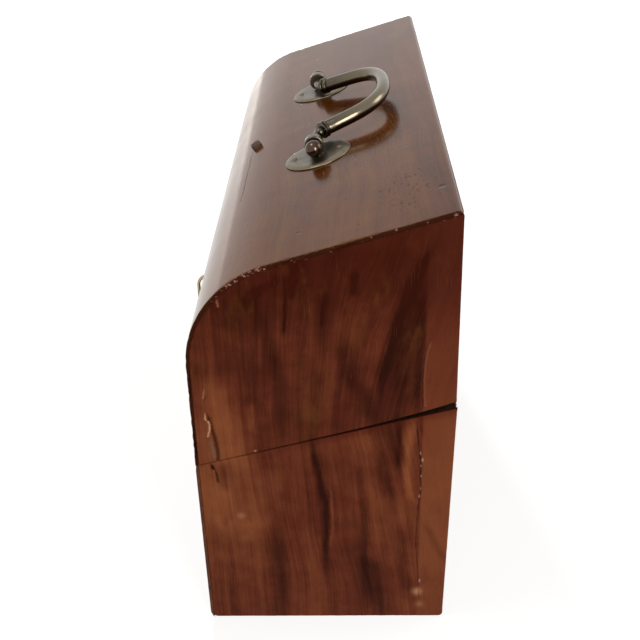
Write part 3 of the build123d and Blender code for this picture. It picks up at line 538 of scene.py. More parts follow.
def long_finish(name, look, wear, seed, coat=0.3, top=False):
    """Polished veneer with its grain along the box, on the front, the back or over the lid."""
    m = Finish(name)
    side = m.z - m.y if top else m.z
    tone, fibre, pores = figure(m, side, m.x, m.y * 0.3, seed, 0.015, 0.75)
    lift, tint = 0.13, (0.8, 0.8, 0.36)
    if top:
        over_nose = m.z.step(NOSE_Z - 15, NOSE_Z + 35)
        lift = over_nose * 0.07 + lift
        tint = m.mix(over_nose, tint, (0.7, 0.77, 0.17))
    colour = m.mix(1.0, veneer_colour(m, look, tone * 0.7 + lift), tint, "MULTIPLY")
    colour = m.under(colour, (pores * (0.25 if top else 0.4), (34, 14, 10)))
    height = fibre * 0.01 - pores * 0.02
    smudge = m.cloud(m.x * 0.012, side * 0.03, m.y * 0.01, 5.0, 0.62)
    wipe = m.cloud(m.x * 0.05, side * 0.012, 3.0, 3.0, 0.55)
    roughness = (smudge - 0.5) * 0.3 + (wipe - 0.5) * 0.12 + wear.gloss
    if top:
        colour, dents, dull = lid_knocks(m, colour)
        colour, end, worn = lid_edges(m, colour, side, over_nose)
        height = height - dents
        roughness = roughness + dull + end * 0.35
        coat = (1 - end) * coat * (1 - worn * 0.15)
    else:
        scars = m.cloud(m.x * 0.02, side * 0.6, 4.0, 3.0, 0.6).step(0.68, 0.74)
        colour = m.under(colour, (scars * 0.35, (150, 95, 66)))
        height = height - scars * 0.03
    return m.shade(
        Base_Color=colour,
        Roughness=roughness,
        Coat_Weight=coat,
        Coat_Roughness=0.1,
        Specular_IOR_Level=0.05,
        Specular_Tint=(1.0, 0.6, 0.4, 1.0),
        Normal=m.bump(height),
    )


# Knocks in the lid's polish, as (place along the box, depth, size, strength).
LID_MARKS = (
    (169.3, 62.8, 1.5, 0.95), (176.9, -10.7, 0.8, 0.8), (-60.5, -61.5, 1.3, 0.85), (150.0, 14.0, 0.5, 0.6),
    (96.0, 50.0, 0.6, 0.6), (-120.0, 30.0, 0.7, 0.7), (188.0, 20.0, 0.5, 0.5),
)
# Painted glints at the ends' upper edge, as (depth, height, size).
LID_GLINTS = ((26.0, 248.5, 0.3), (38.0, 252.4, 0.5), (53.0, 256.0, 0.3), (66.5, 259.6, 0.8))


def lid_knocks(m, colour):
    """Adds a shrinkage crack along the grain from the stud, knocks and nicks."""
    along = m.x.step(14, 20) * (1 - m.x.step(92, 102))
    wander = (m.cloud(m.x * 0.06, 0.0, 0.0, 2.0) - 0.5) * 2.4
    crack = (m.y + 46.2 + wander + m.x * 0.015).bell(0.3) * along
    colour = m.under(colour, (crack * 0.85, (26, 11, 9)))
    dents = crack * 0.3
    for x, y, size, strength in LID_MARKS:
        spot = m.way_to(x=x, y=y).bell(size) * strength
        colour = m.under(colour, (spot, (34, 12, 10)))
        dents = dents + spot * 0.6
    far = ((m.x - 160) * (m.x - 160) * 0.0009 + (m.y - 47) * (m.y - 47) * 0.0035).bell(1.0)
    nicks = m.cloud(m.x * 0.28, m.y * 0.42, 2.0, 4.0, 0.7).step(0.56, 0.66) * far
    colour = m.under(colour, (nicks * 0.75, (34, 12, 8)))
    return colour, dents + nicks * 0.12, nicks * 0.5 + crack * 0.4


def lid_edges(m, colour, side, over_nose):
    """Adds the worn polish of the nose, and the dark end edges with flaked pale polish and painted glints.
    """
    grain = m.cloud(m.x * 0.8, side * 0.45, 1.0, 4.0, 0.7)
    end = (abs(m.x) + (grain - 0.5) * 1.2).step(HALF - 1.0, HALF - 0.3)
    worn = (1 - m.y.step(-64, -24)) * over_nose * (1 - end)
    chipped = m.y.step(-56, -46) * (1 - m.y.step(-28, -18)) * 0.14 - 0.04
    flakes_and_glints = end * (m.cloud(m.y * 0.35, m.z * 0.5, 8.0, 4.0, 0.75) + chipped).step(0.6, 0.66)
    flakes_and_glints = flakes_and_glints * m.z.step(NOSE_Z + 20, NOSE_Z + 30)
    # Painted glints: pale spots on the ends' upper edge.
    for y, z, size in LID_GLINTS:
        spot = m.way_to(y=y, z=z).bell(size) * (abs(m.x) - HALF).step(-0.9, -0.2)
        flakes_and_glints = flakes_and_glints.above(spot)
    colour = m.under(
        colour, (worn * 0.16, (172, 104, 42)), (end * 0.9, (46, 17, 9)), (flakes_and_glints * 0.8, (166, 118, 100))
    )
    return colour, end, worn


def board_finish(name, look, across, along, seed=0.0, polish=0.0):
    """Bare planed board with its growth lines, saw marks and dust, and painted shade where lid and base
    meet.
    """
    m = Finish(name)
    axes = {"x": m.x, "y": m.y, "z": m.z}
    u, v = axes[across], axes[along]
    w = [axes[key] for key in "xyz" if key not in (across, along)][0]
    warp = m.cloud(u * 0.02, v * 0.006, w * 0.02 + seed, 2.0) - 0.5
    rings = m.cloud(u * 0.16 + warp * 3, v * 0.005, w * 0.16 + seed, 5.0, 0.6)
    fibre = m.cloud(u * 1.4, v * 0.04, w * 1.4 + seed, 3.0, 0.7)
    saw = m.cloud(u * 0.02, v * 0.9, w * 0.02, 2.0)
    base = tuple(look.board)
    shade = (rings - 0.5) * 1.6 + (fibre - 0.5) * 0.6 + 0.5
    stops = [
        (0.1, tuple(c * 0.42 for c in base)), (0.5, base), (0.9, tuple(min(1, c * 1.5) for c in base)),
    ]
    colour = m.ramp(shade, stops)
    dirt = m.cloud(m.x * 0.03, m.y * 0.04, m.z * 0.04, 5.0, 0.65).step(0.5, 0.75)
    colour = m.mix(dirt * 0.5, colour, tuple(c * 0.35 for c in base))
    # Painted shade in the gap where lid and base meet.
    colour = m.under(colour, (rim_shade(m) * 0.95, (20, 9, 7)))
    height = fibre * 0.04 + (rings - 0.5) * 0.05 + (saw - 0.5) * 0.03
    return m.shade(
        Base_Color=colour,
        Roughness=(fibre - 0.5) * 0.2 + (0.72 - polish),
        Specular_IOR_Level=0.12,
        Normal=m.bump(height),
    )


def brass_finish(name, base, bright, grime, patina=0.5, roughness=0.3, marks=None):
    """Cast brass with a brown skin, rubbed on its high spots; marks gives extra rubbed and dark places, the
    dark ones holding painted shade on the bail's underside and painted reflections round the plates' pins.
    """
    m = Finish(name)
    spots = m.grain(0.22, 5.0, 0.65)
    fine = m.grain(1.3, 4.0, 0.7)
    cast = m.grain(0.3, 2.0, 0.5)
    rub, dirt = marks(m) if marks else (m.grain(0.06, 2.0).step(0.4, 0.62), None)
    colour = m.mix(rub * 0.7, base, bright)
    skin = (spots + (fine - 0.5) * 0.3).step(0.62 - 0.22 * patina, 0.9 - 0.2 * patina)
    colour = m.mix(skin * patina * 0.7, colour, grime)
    pits = fine.step(0.68, 0.76)
    colour = m.mix(pits * 0.4, colour, tuple(c * 0.4 for c in grime))
    # Dark places from marks: painted shade on the bail's underside, painted reflections round the plates'
    # pins.
    if dirt:
        colour = m.mix(dirt, colour, tuple(c * 0.45 for c in grime))
    height = (cast - 0.5) * 0.05 + (fine - 0.5) * 0.004 - pits * 0.008
    return m.shade(
        Base_Color=colour,
        Metallic=1.0,
        Roughness=(spots - 0.5) * 0.16 + skin * 0.15 * patina + roughness,
        Coat_Weight=0.1,
        Coat_Roughness=0.12,
        Normal=m.bump(height),
    )


# Plain metals: base, bright and grime as they show on a screen, then patina and roughness.
METALS = {
    "post_brass": ((84, 76, 62), (104, 94, 78), (36, 30, 24), 0.6, 0.26),
    "knob_brass": ((66, 52, 42), (86, 70, 58), (30, 22, 18), 0.4, 0.12),
    "hinge_brass": ((150, 124, 78), (190, 164, 112), (72, 52, 30), 0.6, 0.38),
    "lock_brass": ((156, 132, 82), (196, 172, 118), (70, 54, 32), 0.5, 0.36),
    "keyhole_brass": ((142, 120, 78), (206, 184, 132), (58, 46, 30), 0.5, 0.3),
    "key_brass": ((112, 100, 72), (188, 172, 132), (46, 40, 28), 0.5, 0.28),
}


def metal(name):
    """One of the plain metals."""
    *shades, patina, roughness = METALS[name]
    return brass_finish(name, *[paint(*shade) for shade in shades], patina, roughness)


def bail_rub_and_shade(m):
    """The bail is rubbed bright along its bow, has painted shade on its underside and is darker along its
    necks.
    """
    turn = SLOPE + BAIL_RAISE
    pivot = slope_frame(HANDLE_X, turn, PIVOT_HEIGHT).translation
    over = (m.z - pivot.z) * math.cos(turn) - (m.y - pivot.y) * math.sin(turn)
    outward = (m.z - pivot.z) * math.sin(turn) + (m.y - pivot.y) * math.cos(turn)
    side = abs(m.x - HANDLE_X)
    ragged = m.grain(0.15) - 0.5
    rubbed = (outward + ragged * 8).step(4, 40)
    # Painted shade on the bail's underside.
    under = 1 - (over + ragged * 1.2).step(-3.2, 1.0)
    neck = side.step(51, 56) * (1 - side.step(62, 64)) * 0.3
    return rubbed, (under * 0.92).above(neck)


def plate_rub_and_reflections(m):
    """A handle plate is dark round its post, has painted reflections as dark rings round its pins, and is
    pale elsewhere.
    """
    spot = slope_frame(HANDLE_X).translation
    up = (m.y - spot.y) / math.cos(SLOPE)
    side = abs(m.x - HANDLE_X) - POST_HALF_GAP
    from_post = (side * side + up * up) ** 0.5
    post = (from_post - 6.5).bell(1.5) * 0.5
    rings = 0.0
    # Painted reflection: a dark ring round each pin.
    for pin in (-14.0, 14.0):
        away = (side * side + (up - pin) * (up - pin)) ** 0.5
        rings = ((away - 2.9).bell(0.45) * 0.55).above(rings)
    rubbed = (from_post + m.cloud(m.x * 0.1, m.y * 0.1, 0.0, 3.0) * 8).step(12, 24)
    return rubbed, rings.above(post)


def iron_finish(name, base, rust):
    """Dark forged iron or old steel with brown spots."""
    m = Finish(name)
    spots = m.grain(0.5, 5.0, 0.7)
    fine = m.grain(2.0, 3.0, 0.7)
    brown = (spots + (fine - 0.5) * 0.4).step(0.48, 0.64)
    colour = m.mix(brown * 0.75, base, rust)
    height = (spots - 0.5) * 0.1 + (fine - 0.5) * 0.05
    return m.shade(
        Base_Color=colour, Metallic=1 - brown * 0.8, Roughness=brown * 0.3 + 0.38, Normal=m.bump(height)
    )


def cloth_finish(name, base, worn):
    """Old velvet with a short nap, brushed in patches and worn to its ground."""
    m = Finish(name)
    nap = m.grain(3.2, 3.0, 0.8)
    brushed = m.cloud(m.x * 0.03, m.y * 0.05, m.z * 0.05, 4.0, 0.6)
    warp, weft = [(axis * 5.2).math("SINE", axis * 5.2) for axis in (m.x, m.y)]
    thread = warp * weft
    bare = (brushed + (nap - 0.5) * 0.3).step(0.56, 0.74)
    tone = (nap - 0.5) * 0.9 + (brushed - 0.5) * 0.9 + 0.5
    dark = tuple(c * 0.35 for c in base)
    light = tuple(min(1, c * 1.9) for c in base)
    colour = m.ramp(tone, [(0.15, dark), (0.55, tuple(base)), (0.95, light)])
    colour = m.mix(bare * 0.5, colour, worn)
    height = nap * 0.12 + bare * thread * 0.05
    return m.shade(
        Base_Color=colour,
        Roughness=0.95,
        Sheen_Weight=0.5,
        Sheen_Roughness=0.4,
        Sheen_Tint=(0.9, 0.45, 0.42, 1.0),
        Normal=m.bump(height),
    )


# Mesh helpers, in millimetres.


def soften(mesh, angle):
    """Smooth faces, with edges sharper than the angle kept sharp, all facing out."""
    work = bmesh.new()
    work.from_mesh(mesh)
    bmesh.ops.recalc_face_normals(work, faces=work.faces)
    for face in work.faces:
        face.smooth = True
    for edge in work.edges:
        edge.smooth = len(edge.link_faces) == 2 and edge.calc_face_angle(0) < math.radians(angle)
    work.to_mesh(mesh)
    work.free()


def piece(name, body, finish, points, faces, replaces=(), angle=35.0):
    """Makes a piece from points in millimetres, in its finish, riding on its body."""
    mesh = bpy.data.meshes.new(name)
    mesh.from_pydata([Vector(p) * MM for p in points], [], [tuple(f) for f in faces])
    mesh.validate()
    soften(mesh, angle)
    mesh.materials.append(finish)
    made = bpy.data.objects.new(name, mesh)
    bpy.context.scene.collection.objects.link(made)
    if replaces:
        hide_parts(*replaces)
    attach(made, body)
    return made


def dress(finish, *nodes):
    """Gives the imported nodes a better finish."""
    for node in nodes:
        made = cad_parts[node]
        if not made.material_slots:
            made.data.materials.append(finish)
        for place in made.material_slots:
            place.material = finish


def base_rim(y):
    return RIM_FRONT_Z + RIM_RISE * (y - FRONT_Y) / (RIM_BACK_Y - FRONT_Y)


def lid_rim(y):
    return base_rim(y) + 0.4 + 4.5 * (y - FRONT_Y) / (RIM_BACK_Y - FRONT_Y)


def lid_skirt(y):
    """Lower edge of the lid's end veneers, which nearly meets the base except at the back."""
    share = (y - FRONT_Y) / (RIM_BACK_Y - FRONT_Y)
    return base_rim(y) + 0.15 + 0.5 * share + 3.4 * share**5


def front_face(z):
    return -FOOT_Y - FRONT_LEAN * z / RIM_FRONT_Z


def back_face(z):
    return FOOT_Y + BACK_LEAN * z / (RIM_FRONT_Z + RIM_RISE)


def lid_back(z):
    height = LID_TOP[1] - lid_rim(LID_BACK_LOW_Y)
    return LID_TOP[0] + (LID_BACK_LOW_Y - LID_TOP[0]) * (LID_TOP[1] - z) / height


def nose_arc(radius, count):
    """Points up the nose, from its upright front to the start of the slope."""
    turn = math.pi / 2 - SLOPE
    return [
        (NOSE_Y - radius * math.cos(turn * i / count), NOSE_Z + radius * math.sin(turn * i / count))
        for i in range(count + 1)
    ]


def sampled(corners, step, closed=True):
    """The outline through the corners with a point at every step or less."""
    ends = corners[1:] + corners[:1] if closed else corners[1:]
    points = []
    for (u0, v0), (u1, v1) in zip(corners, ends):
        count = max(1, math.ceil(math.hypot(u1 - u0, v1 - v0) / step))
        points += [(u0 + (u1 - u0) * i / count, v0 + (v1 - v0) * i / count) for i in range(count)]
    return points if closed else points + [corners[-1]]


def in_parts(points):
    """The points as arrays of a size that keeps sums over all pairs small."""
    return np.array_split(np.array(points, float).reshape(-1, 2), max(1, len(points) // 1500))


def distance_to(points, line, closed=True):
    """How far each point is from a line of points."""
    line = np.array(line, float)
    a, b = (line, np.roll(line, -1, 0)) if closed else (line[:-1], line[1:])
    d = b - a
    square = np.maximum((d * d).sum(1), 1e-12)
    best = []
    for part in in_parts(points):
        p = part[:, None] - a[None]
        t = np.clip((p * d).sum(2) / square, 0, 1)
        best.append(np.sqrt(((p - t[..., None] * d) ** 2).sum(2)).min(1))
    return np.concatenate(best)


def is_inside(points, line):
    """Whether each point lies within a closed outline."""
    line = np.array(line, float)
    a, b = line, np.roll(line, -1, 0)
    found = []
    for part in in_parts(points):
        u, v = part[:, 0, None], part[:, 1, None]
        over = (a[:, 1] > v) != (b[:, 1] > v)
        rise = np.where(b[:, 1] == a[:, 1], 1e-9, b[:, 1] - a[:, 1])
        cross = u < (b[:, 0] - a[:, 0]) * (v - a[:, 1]) / rise + a[:, 0]
        found.append((over & cross).sum(1) % 2 == 1)
    return np.concatenate(found)


def sideways(along):
    """Unit normals of a line, to the left of its directions."""
    along = along / np.maximum(np.linalg.norm(along, axis=1), 1e-9)[:, None]
    return np.stack([-along[:, 1], along[:, 0]], 1)


def inward(outline, by):
    """The outline's points moved inward."""
    line = np.array(outline, float)
    area = (line[:, 0] * np.roll(line[:, 1], -1) - np.roll(line[:, 0], -1) * line[:, 1]).sum()
    turn = 1 if area > 0 else -1
    return line + turn * by * sideways(np.roll(line, -1, 0) - np.roll(line, 1, 0))


def chosen(items, flags):
    return [item for item, good in zip(items, flags) if good]


def tree_of(points):
    """Finds the nearest of some points."""
    tree = KDTree(len(points))
    for index, point in enumerate(points):
        tree.insert((*point, 0), index)
    tree.balance()
    return tree


def spread_net(outline, net, rings, lines, holes):
    """Points for a face: rings along its edges, rows beside its cracks and an even net between."""
    close = []
    for loop, sign in [(outline, 1)] + [(hole, -1) for hole in holes]:
        for by in rings:
            moved = inward(loop, sign * by)
            close += chosen(moved, distance_to(moved, loop) > 0.8 * by)
    for line in lines:
        path = np.array(sampled(line, 0.7, closed=False), float)
        beside = sideways(np.gradient(path, axis=0))
        for by in (-1.0, -0.5, -0.2, 0.0, 0.2, 0.5, 1.0):
            close += list(path + by * beside)
    low, high = np.min(outline, 0), np.max(outline, 0)
    rows = np.arange(low[1], high[1], net * 0.87)
    grid = [
        (u + (0.5 * net if i % 2 else 0), v)
        for i, v in enumerate(rows)
        for u in np.arange(low[0], high[0], net)
    ]
    kept = []
    for least, group in ((0.13, close), (0.55 * net, grid)):
        group = chosen(group, is_inside(group, outline))
        for loop in (outline, *holes):
            group = chosen(group, distance_to(group, loop) > least * 0.8)
        for hole in holes:
            group = chosen(group, ~is_inside(group, hole))
        if kept:
            tree = tree_of(kept)
            group = [p for p in group if tree.find((*p, 0))[2] > least]
        kept += [tuple(p) for p in group]
    return kept


def triangles(points, loops):
    """Triangles between the points, inside the first loop and outside the others."""
    coords = [Vector(p) for loop in loops for p in loop] + [Vector(p) for p in points]
    faces, start = [], 0
    edges = []
    for loop in loops:
        count = len(loop)
        edges += [(start + i, start + (i + 1) % count) for i in range(count)]
        if not faces:
            faces.append(list(range(count)))
        start += count
    verts, _, found, _, _, _ = delaunay_2d_cdt(coords, edges, faces, 1, 1e-6)
    centres = [sum((verts[i] for i in face), Vector((0, 0))) / len(face) for face in found]
    for hole in loops[1:]:
        outside = ~is_inside([tuple(c) for c in centres], hole)
        found, centres = chosen(found, outside), chosen(centres, outside)
    return [tuple(v) for v in verts], [tuple(face) for face in found]


def skin(outline, thick, place, sink, net=1.4, rings=(0.15, 0.35, 0.7, 1.2), lines=(), holes=()):
    """A closed sheet: its outer face follows sink(u, v, d), where d is the way to the edge."""
    loops = [sampled(list(outline), net)] + [list(hole) for hole in holes]
    verts, found = triangles(spread_net(loops[0], net, rings, lines, holes), loops)
    away = distance_to(verts, loops[0])
    for hole in holes:
        away = np.minimum(away, distance_to(verts, hole))
    points = [place(u, v, sink(u, v, d)) for (u, v), d in zip(verts, away)]
    count = {}
    for face in found:
        for a, b in zip(face, face[1:] + face[:1]):
            key = (min(a, b), max(a, b))
            count[key] = count.get(key, 0) + 1
    border = [key for key, uses in count.items() if uses == 1]
    rim = sorted({i for key in border for i in key})
    first = len(points)
    under = {i: first + k for k, i in enumerate(rim)}
    points += [place(*verts[i], thick) for i in rim]
    faces = list(found) + [(a, b, under[b], under[a]) for a, b in border]
    flat, back = triangles([], loops)
    tree = tree_of([verts[i] for i in rim])
    match = [first + tree.find((*p, 0))[1] for p in flat]
    faces += [tuple(match[i] for i in face) for face in back if len({match[i] for i in face}) == 3]
    return points, faces


def rounded(d, radius):
    """How far a rounded edge lies under its face, at the distance d in from the edge."""
    if d >= radius:
        return 0.0
    return radius - math.sqrt(max(0.0, radius * radius - (radius - d) ** 2))


def ring(centre, radius, count):
    angles = [2 * math.pi * i / count for i in range(count)]
    return [(centre[0] + radius * math.cos(a), centre[1] + radius * math.sin(a)) for a in angles]


def lump(x, y, z, scale, seed=0.0):
    """Smooth noise between -1 and 1, at one bump for each scale in millimetres."""
    return noise.noise(Vector((x / scale + seed, y / scale - seed, z / scale + 0.37 * seed)))


def lathe(profile, count, place):
    """A turned piece from (radius, height) points, closed where its radius is 0."""
    points, rows = [], []
    for radius, height in profile:
        if radius < 1e-6:
            rows.append([len(points)] * count)
            points.append(place(0, 0, height))
            continue
        rows.append(list(range(len(points), len(points) + count)))
        for i in range(count):
            a = 2 * math.pi * i / count
            points.append(place(radius * math.cos(a), radius * math.sin(a), height))
    faces = []
    for low, high in zip(rows, rows[1:]):
        for i in range(count):
            corners = [low[i], low[(i + 1) % count], high[(i + 1) % count], high[i]]
            face = tuple(dict.fromkeys(corners))
            if len(face) > 2:
                faces.append(face)
    return points, faces


def ring_faces(rows, count, capped=True):
    """Faces between rings of count points, and over the first ring and the last."""
    faces = []
    for row in range(rows - 1):
        for i in range(count):
            a, b = row * count + i, row * count + (i + 1) % count
            faces.append((a, b, b + count, a + count))
    if capped:
        faces.append(tuple(range(count))[::-1])
        faces.append(tuple(range((rows - 1) * count, rows * count)))
    return faces


def smooth_line(points, count):
    """A smooth line through the points, as even samples with their directions."""
    p = np.array(points, float)
    t = np.concatenate([[0], np.cumsum(np.linalg.norm(np.diff(p, axis=0), axis=1))])
    n = len(p)
    matrix, right = np.zeros((n, n)), np.zeros((n, p.shape[1]))
    h = np.diff(t)
    for i in range(1, n - 1):
        matrix[i, i - 1 : i + 2] = [h[i], 2 * (h[i - 1] + h[i]), h[i - 1]]
        right[i] = 3 * ((p[i] - p[i - 1]) / h[i - 1] * h[i] + (p[i + 1] - p[i]) / h[i] * h[i - 1])
    matrix[0, 0] = matrix[-1, -1] = 1
    right[0] = (p[1] - p[0]) / h[0]
    right[-1] = (p[-1] - p[-2]) / h[-1]
    slopes = np.linalg.solve(matrix, right)
    fine = np.linspace(0, t[-1], 40 * n)
    k = np.clip(np.searchsorted(t, fine, side="right") - 1, 0, n - 2)
    s = ((fine - t[k]) / h[k])[:, None]
    hk = h[k][:, None]
    line = (
        (2 * s**3 - 3 * s**2 + 1) * p[k]
        + (s**3 - 2 * s**2 + s) * hk * slopes[k]
        + (3 * s**2 - 2 * s**3) * p[k + 1]
        + (s**3 - s**2) * hk * slopes[k + 1]
    )
    along = np.concatenate([[0], np.cumsum(np.linalg.norm(np.diff(line, axis=0), axis=1))])
    even = np.linspace(0, along[-1], count)
    return np.stack([np.interp(even, along, line[:, i]) for i in range(p.shape[1])], 1), even


# Places on the lid's slope: x along the lid, y up the slope, z out of the wood.


def slope_frame(x, turn=SLOPE, lift=0.0):
    """The frame of the handle's plates, or of the bail when it is turned and lifted."""
    y = LID_TOP[0] - HANDLE_FROM_BACK * math.cos(SLOPE) - lift * math.sin(SLOPE)
    z = LID_TOP[1] - HANDLE_FROM_BACK * math.sin(SLOPE) + lift * math.cos(SLOPE)
    return Matrix.Translation((x, y, z)) @ Matrix.Rotation(turn, 4, "X")


class Maker:
    """Lets an operator make its pieces from the box's colours and wear."""

    def execute(self, context):
        self.make(context.scene.box_colours, context.scene.box_wear)
        return {"FINISHED"}


# Pieces of the case.


def end_edges(y, z, radius, lid):
    """Radius of the worn edge beside a point of an end: large at the foot and the back."""
    if not lid and z < 4:
        return radius * 0.45
    rim = lid_skirt(y) if lid else base_rim(y)
    if abs(z - rim) < 2:
        return radius * 0.3
    if y > 60:
        return radius
    return radius * 0.3


class MESH_OT_end_veneers(Maker, bpy.types.Operator):
    """Worn veneers of both ends, with their cracks at the glue lines"""

    bl_idname = "decanter_box.end_veneers"
    bl_label = "End veneers"

    def make(self, look, wear):
        net, radius, deep = wear.net / MM, wear.edge / MM, wear.crack / MM
        base_outline = [(-67.3, 0.9), (-66.7, 0.5), (-65.8, 0.2), (-64.6, 0.0), (66.9, 0.0)]
        base_outline += [
            (66.85 + 2.5 * math.sin(a), 2.5 - 2.5 * math.cos(a)) for a in (0.3, 0.65, 1.0, 1.3, 1.55)
        ]
        base_outline += [(RIM_BACK_Y, base_rim(RIM_BACK_Y)), (-68.2, base_rim(-68.2))]
        inner = NOSE_R - SHEET_T
        top_y = lid_back(LID_TOP[1])
        rise = (top_y - NOSE_Y + inner * math.sin(SLOPE)) * math.tan(SLOPE)
        top_z = NOSE_Z + inner * math.cos(SLOPE) + rise
        lid_outline = [(-68.2, lid_skirt(-68.2))] + nose_arc(inner, 60)
        lid_outline += [(top_y - 0.8, top_z - 0.3), (top_y - 0.2, top_z - 0.9), (top_y, top_z - 1.6)]
        lid_outline += [(y, lid_skirt(y)) for y in (LID_BACK_LOW_Y, 66, 60, 54, 48, 40, 30, 15, -10, -40)]
        parts = (
            ("lid", lid_outline, (FRONT_CRACK_LID, BACK_CRACK_LID)),
            ("base", base_outline, (FRONT_CRACK_BASE, BACK_CRACK_BASE)),
        )
        for name, side in SIDES:
            finish = end_finish("end_veneer_" + name, look, wear, 2.0 if side > 0 else 31.0, side > 0)
            strength = 1.0 if side > 0 else 0.5
            for part, outline, cracks in parts:
                lines = [[(y, z) for z, y in crack] for crack in cracks]

                def place(y, z, w, side=side):
                    return (side * (HALF - w), y, z)

                def sink(y, z, d, part=part, lines=lines, side=side, strength=strength):
                    w = 0.22 + 0.07 * lump(y, z, side * 40, 34) + 0.025 * lump(y, z, side * 9, 9)
                    ragged = 1 + 0.5 * lump(y, z, side * 5, 3.5)
                    w += rounded(d, end_edges(y, z, radius, part == "lid") * ragged)
                    for line in lines:
                        away = distance_to([(y, z)], line, closed=False)[0] if near(line, y, z) else 9
                        if away < 3:
                            sunk = deep * math.exp(-((away / 0.4) ** 2)) * (0.6 + 0.4 * lump(y, z, 3, 4))
                            w += strength * (sunk - 0.18 * math.exp(-(((away - 1.2) / 0.7) ** 2)))
                    if side > 0:
                        w += 0.6 * math.exp(-(((y + 61.0) / 1.2) ** 2) - ((z - 112.2) / 3.0) ** 2)
                    return max(0.0, w)

                points, faces = skin(outline, 1.2, place, sink, net=net, lines=lines)
                node = f"{part}_end_veneer_{name}"
                piece(node + "_worn", part, finish, points, faces, (node,))


def near(line, y, z):
    """Whether a point is near enough to a line for its distance to matter."""
    ys, zs = [p[0] for p in line], [p[1] for p in line]
    return min(ys) - 3 < y < max(ys) + 3 and min(zs) - 3 < z < max(zs) + 3


class MESH_OT_top_sheet(Maker, bpy.types.Operator):
    """The lid's sheet, bent over the nose, with nicked ends and a crack from the stud"""

    bl_idname = "decanter_box.top_sheet"
    bl_label = "Top sheet"

    def make(self, look, wear):
        finish = long_finish("top_sheet", look, wear, 12.0, top=True)
        chips, radius = wear.chips / MM, wear.edge / MM
        low_z = lid_rim(FRONT_Y)
        front = [(FRONT_Y, low_z + (NOSE_Z - low_z) * i / 44) for i in range(44)]
        arc = nose_arc(NOSE_R, 60)
        back_r = 3.0
        start = Vector(arc[-1])
        corner = Vector(LID_TOP)
        up = (corner - start).normalized()
        out = Vector((-up[1], up[0]))
        reach = (corner - start).length - back_r / math.tan((math.pi / 2 - SLOPE) / 2)
        slope = [tuple(start + up * reach * i / 72) for i in range(1, 73)]
        turn = Vector(slope[-1]) - out * back_r
        last = math.acos(1 - SHEET_T / back_r)
        angles = [last * i / 8 for i in range(1, 9)]
        bend = [tuple(turn + back_r * (out * math.cos(a) + up * math.sin(a))) for a in angles]
        outer = front + arc + slope + bend
        inner_r = NOSE_R - SHEET_T
        low = (FRONT_Y + SHEET_T, lid_rim(FRONT_Y + SHEET_T))
        inner_top = Vector(nose_arc(inner_r, 1)[-1])
        inner_end = inner_top + up * (reach + back_r * math.sin(last) - 0.3)
        inner = [tuple(inner_top.lerp(inner_end, t)) for t in (1.0, 0.66, 0.33)]
        inner += nose_arc(inner_r, 24)[::-1] + [low]
        count = len(outer)
        normals = sideways(np.gradient(np.array(outer), axis=0))
        steps = [0, 0.12, 0.3, 0.6, 1.0, 1.5, 2.1, 2.9, 4.0, 5.5, 7.5, 10]
        stations = [HALF - s for s in steps] + list(np.linspace(HALF - 14, 0, 48))
        stations = sorted([-x for x in stations[:-1]] + stations)
        points = []
        for x in stations:
            d = HALF - abs(x)
            for i, (y, z) in enumerate(outer):
                ragged = 0.5 + 0.5 * lump(x * 0.2, y, z, 2.4, 5.0)
                nick = max(0.0, lump(math.copysign(50, x), y, z, 3.2, 2.0) + 0.15) ** 1.5
                w = rounded(d, radius * (0.6 + 0.8 * ragged)) + nick * chips * max(0.0, 1 - d / 2.2)
                w += 0.05 + 0.05 * lump(x, y, z, 60) + 0.02 * lump(x, y, z, 14)
                w = min(w, 1.7)
                if i >= count - 5 and d > 1.2:
                    w = 0.0
                points.append((x, y - normals[i, 0] * w, z - normals[i, 1] * w))
            points += [(x, y, z) for y, z in inner]
        total = count + len(inner)
        faces = ring_faces(len(stations), total, capped=False)
        last = (len(stations) - 1) * total
        for a, b, c in cap_strip(outer, inner):
            faces += [(a, b, c), (last + c, last + b, last + a)]
        piece("lid_top_sheet_worn", "lid", finish, points, faces, ("lid_top_sheet",), 50)


def cap_strip(outer, inner):
    """Triangles that close the end of a bent sheet, between its outer line and its inner line."""
    back = inner[::-1]
    count, total = len(outer), len(outer) + len(inner)
    faces, i, j = [], 0, 0
    while i < count - 1 or j < len(back) - 1:
        step_i = i < count - 1 and (
            j == len(back) - 1
            or math.dist(outer[i + 1], back[j]) <= math.dist(outer[i], back[j + 1])
        )
        if step_i:
            faces.append((i, i + 1, total - 1 - j))
            i += 1
        else:
            faces.append((i, total - 2 - j, total - 1 - j))
            j += 1
    return faces


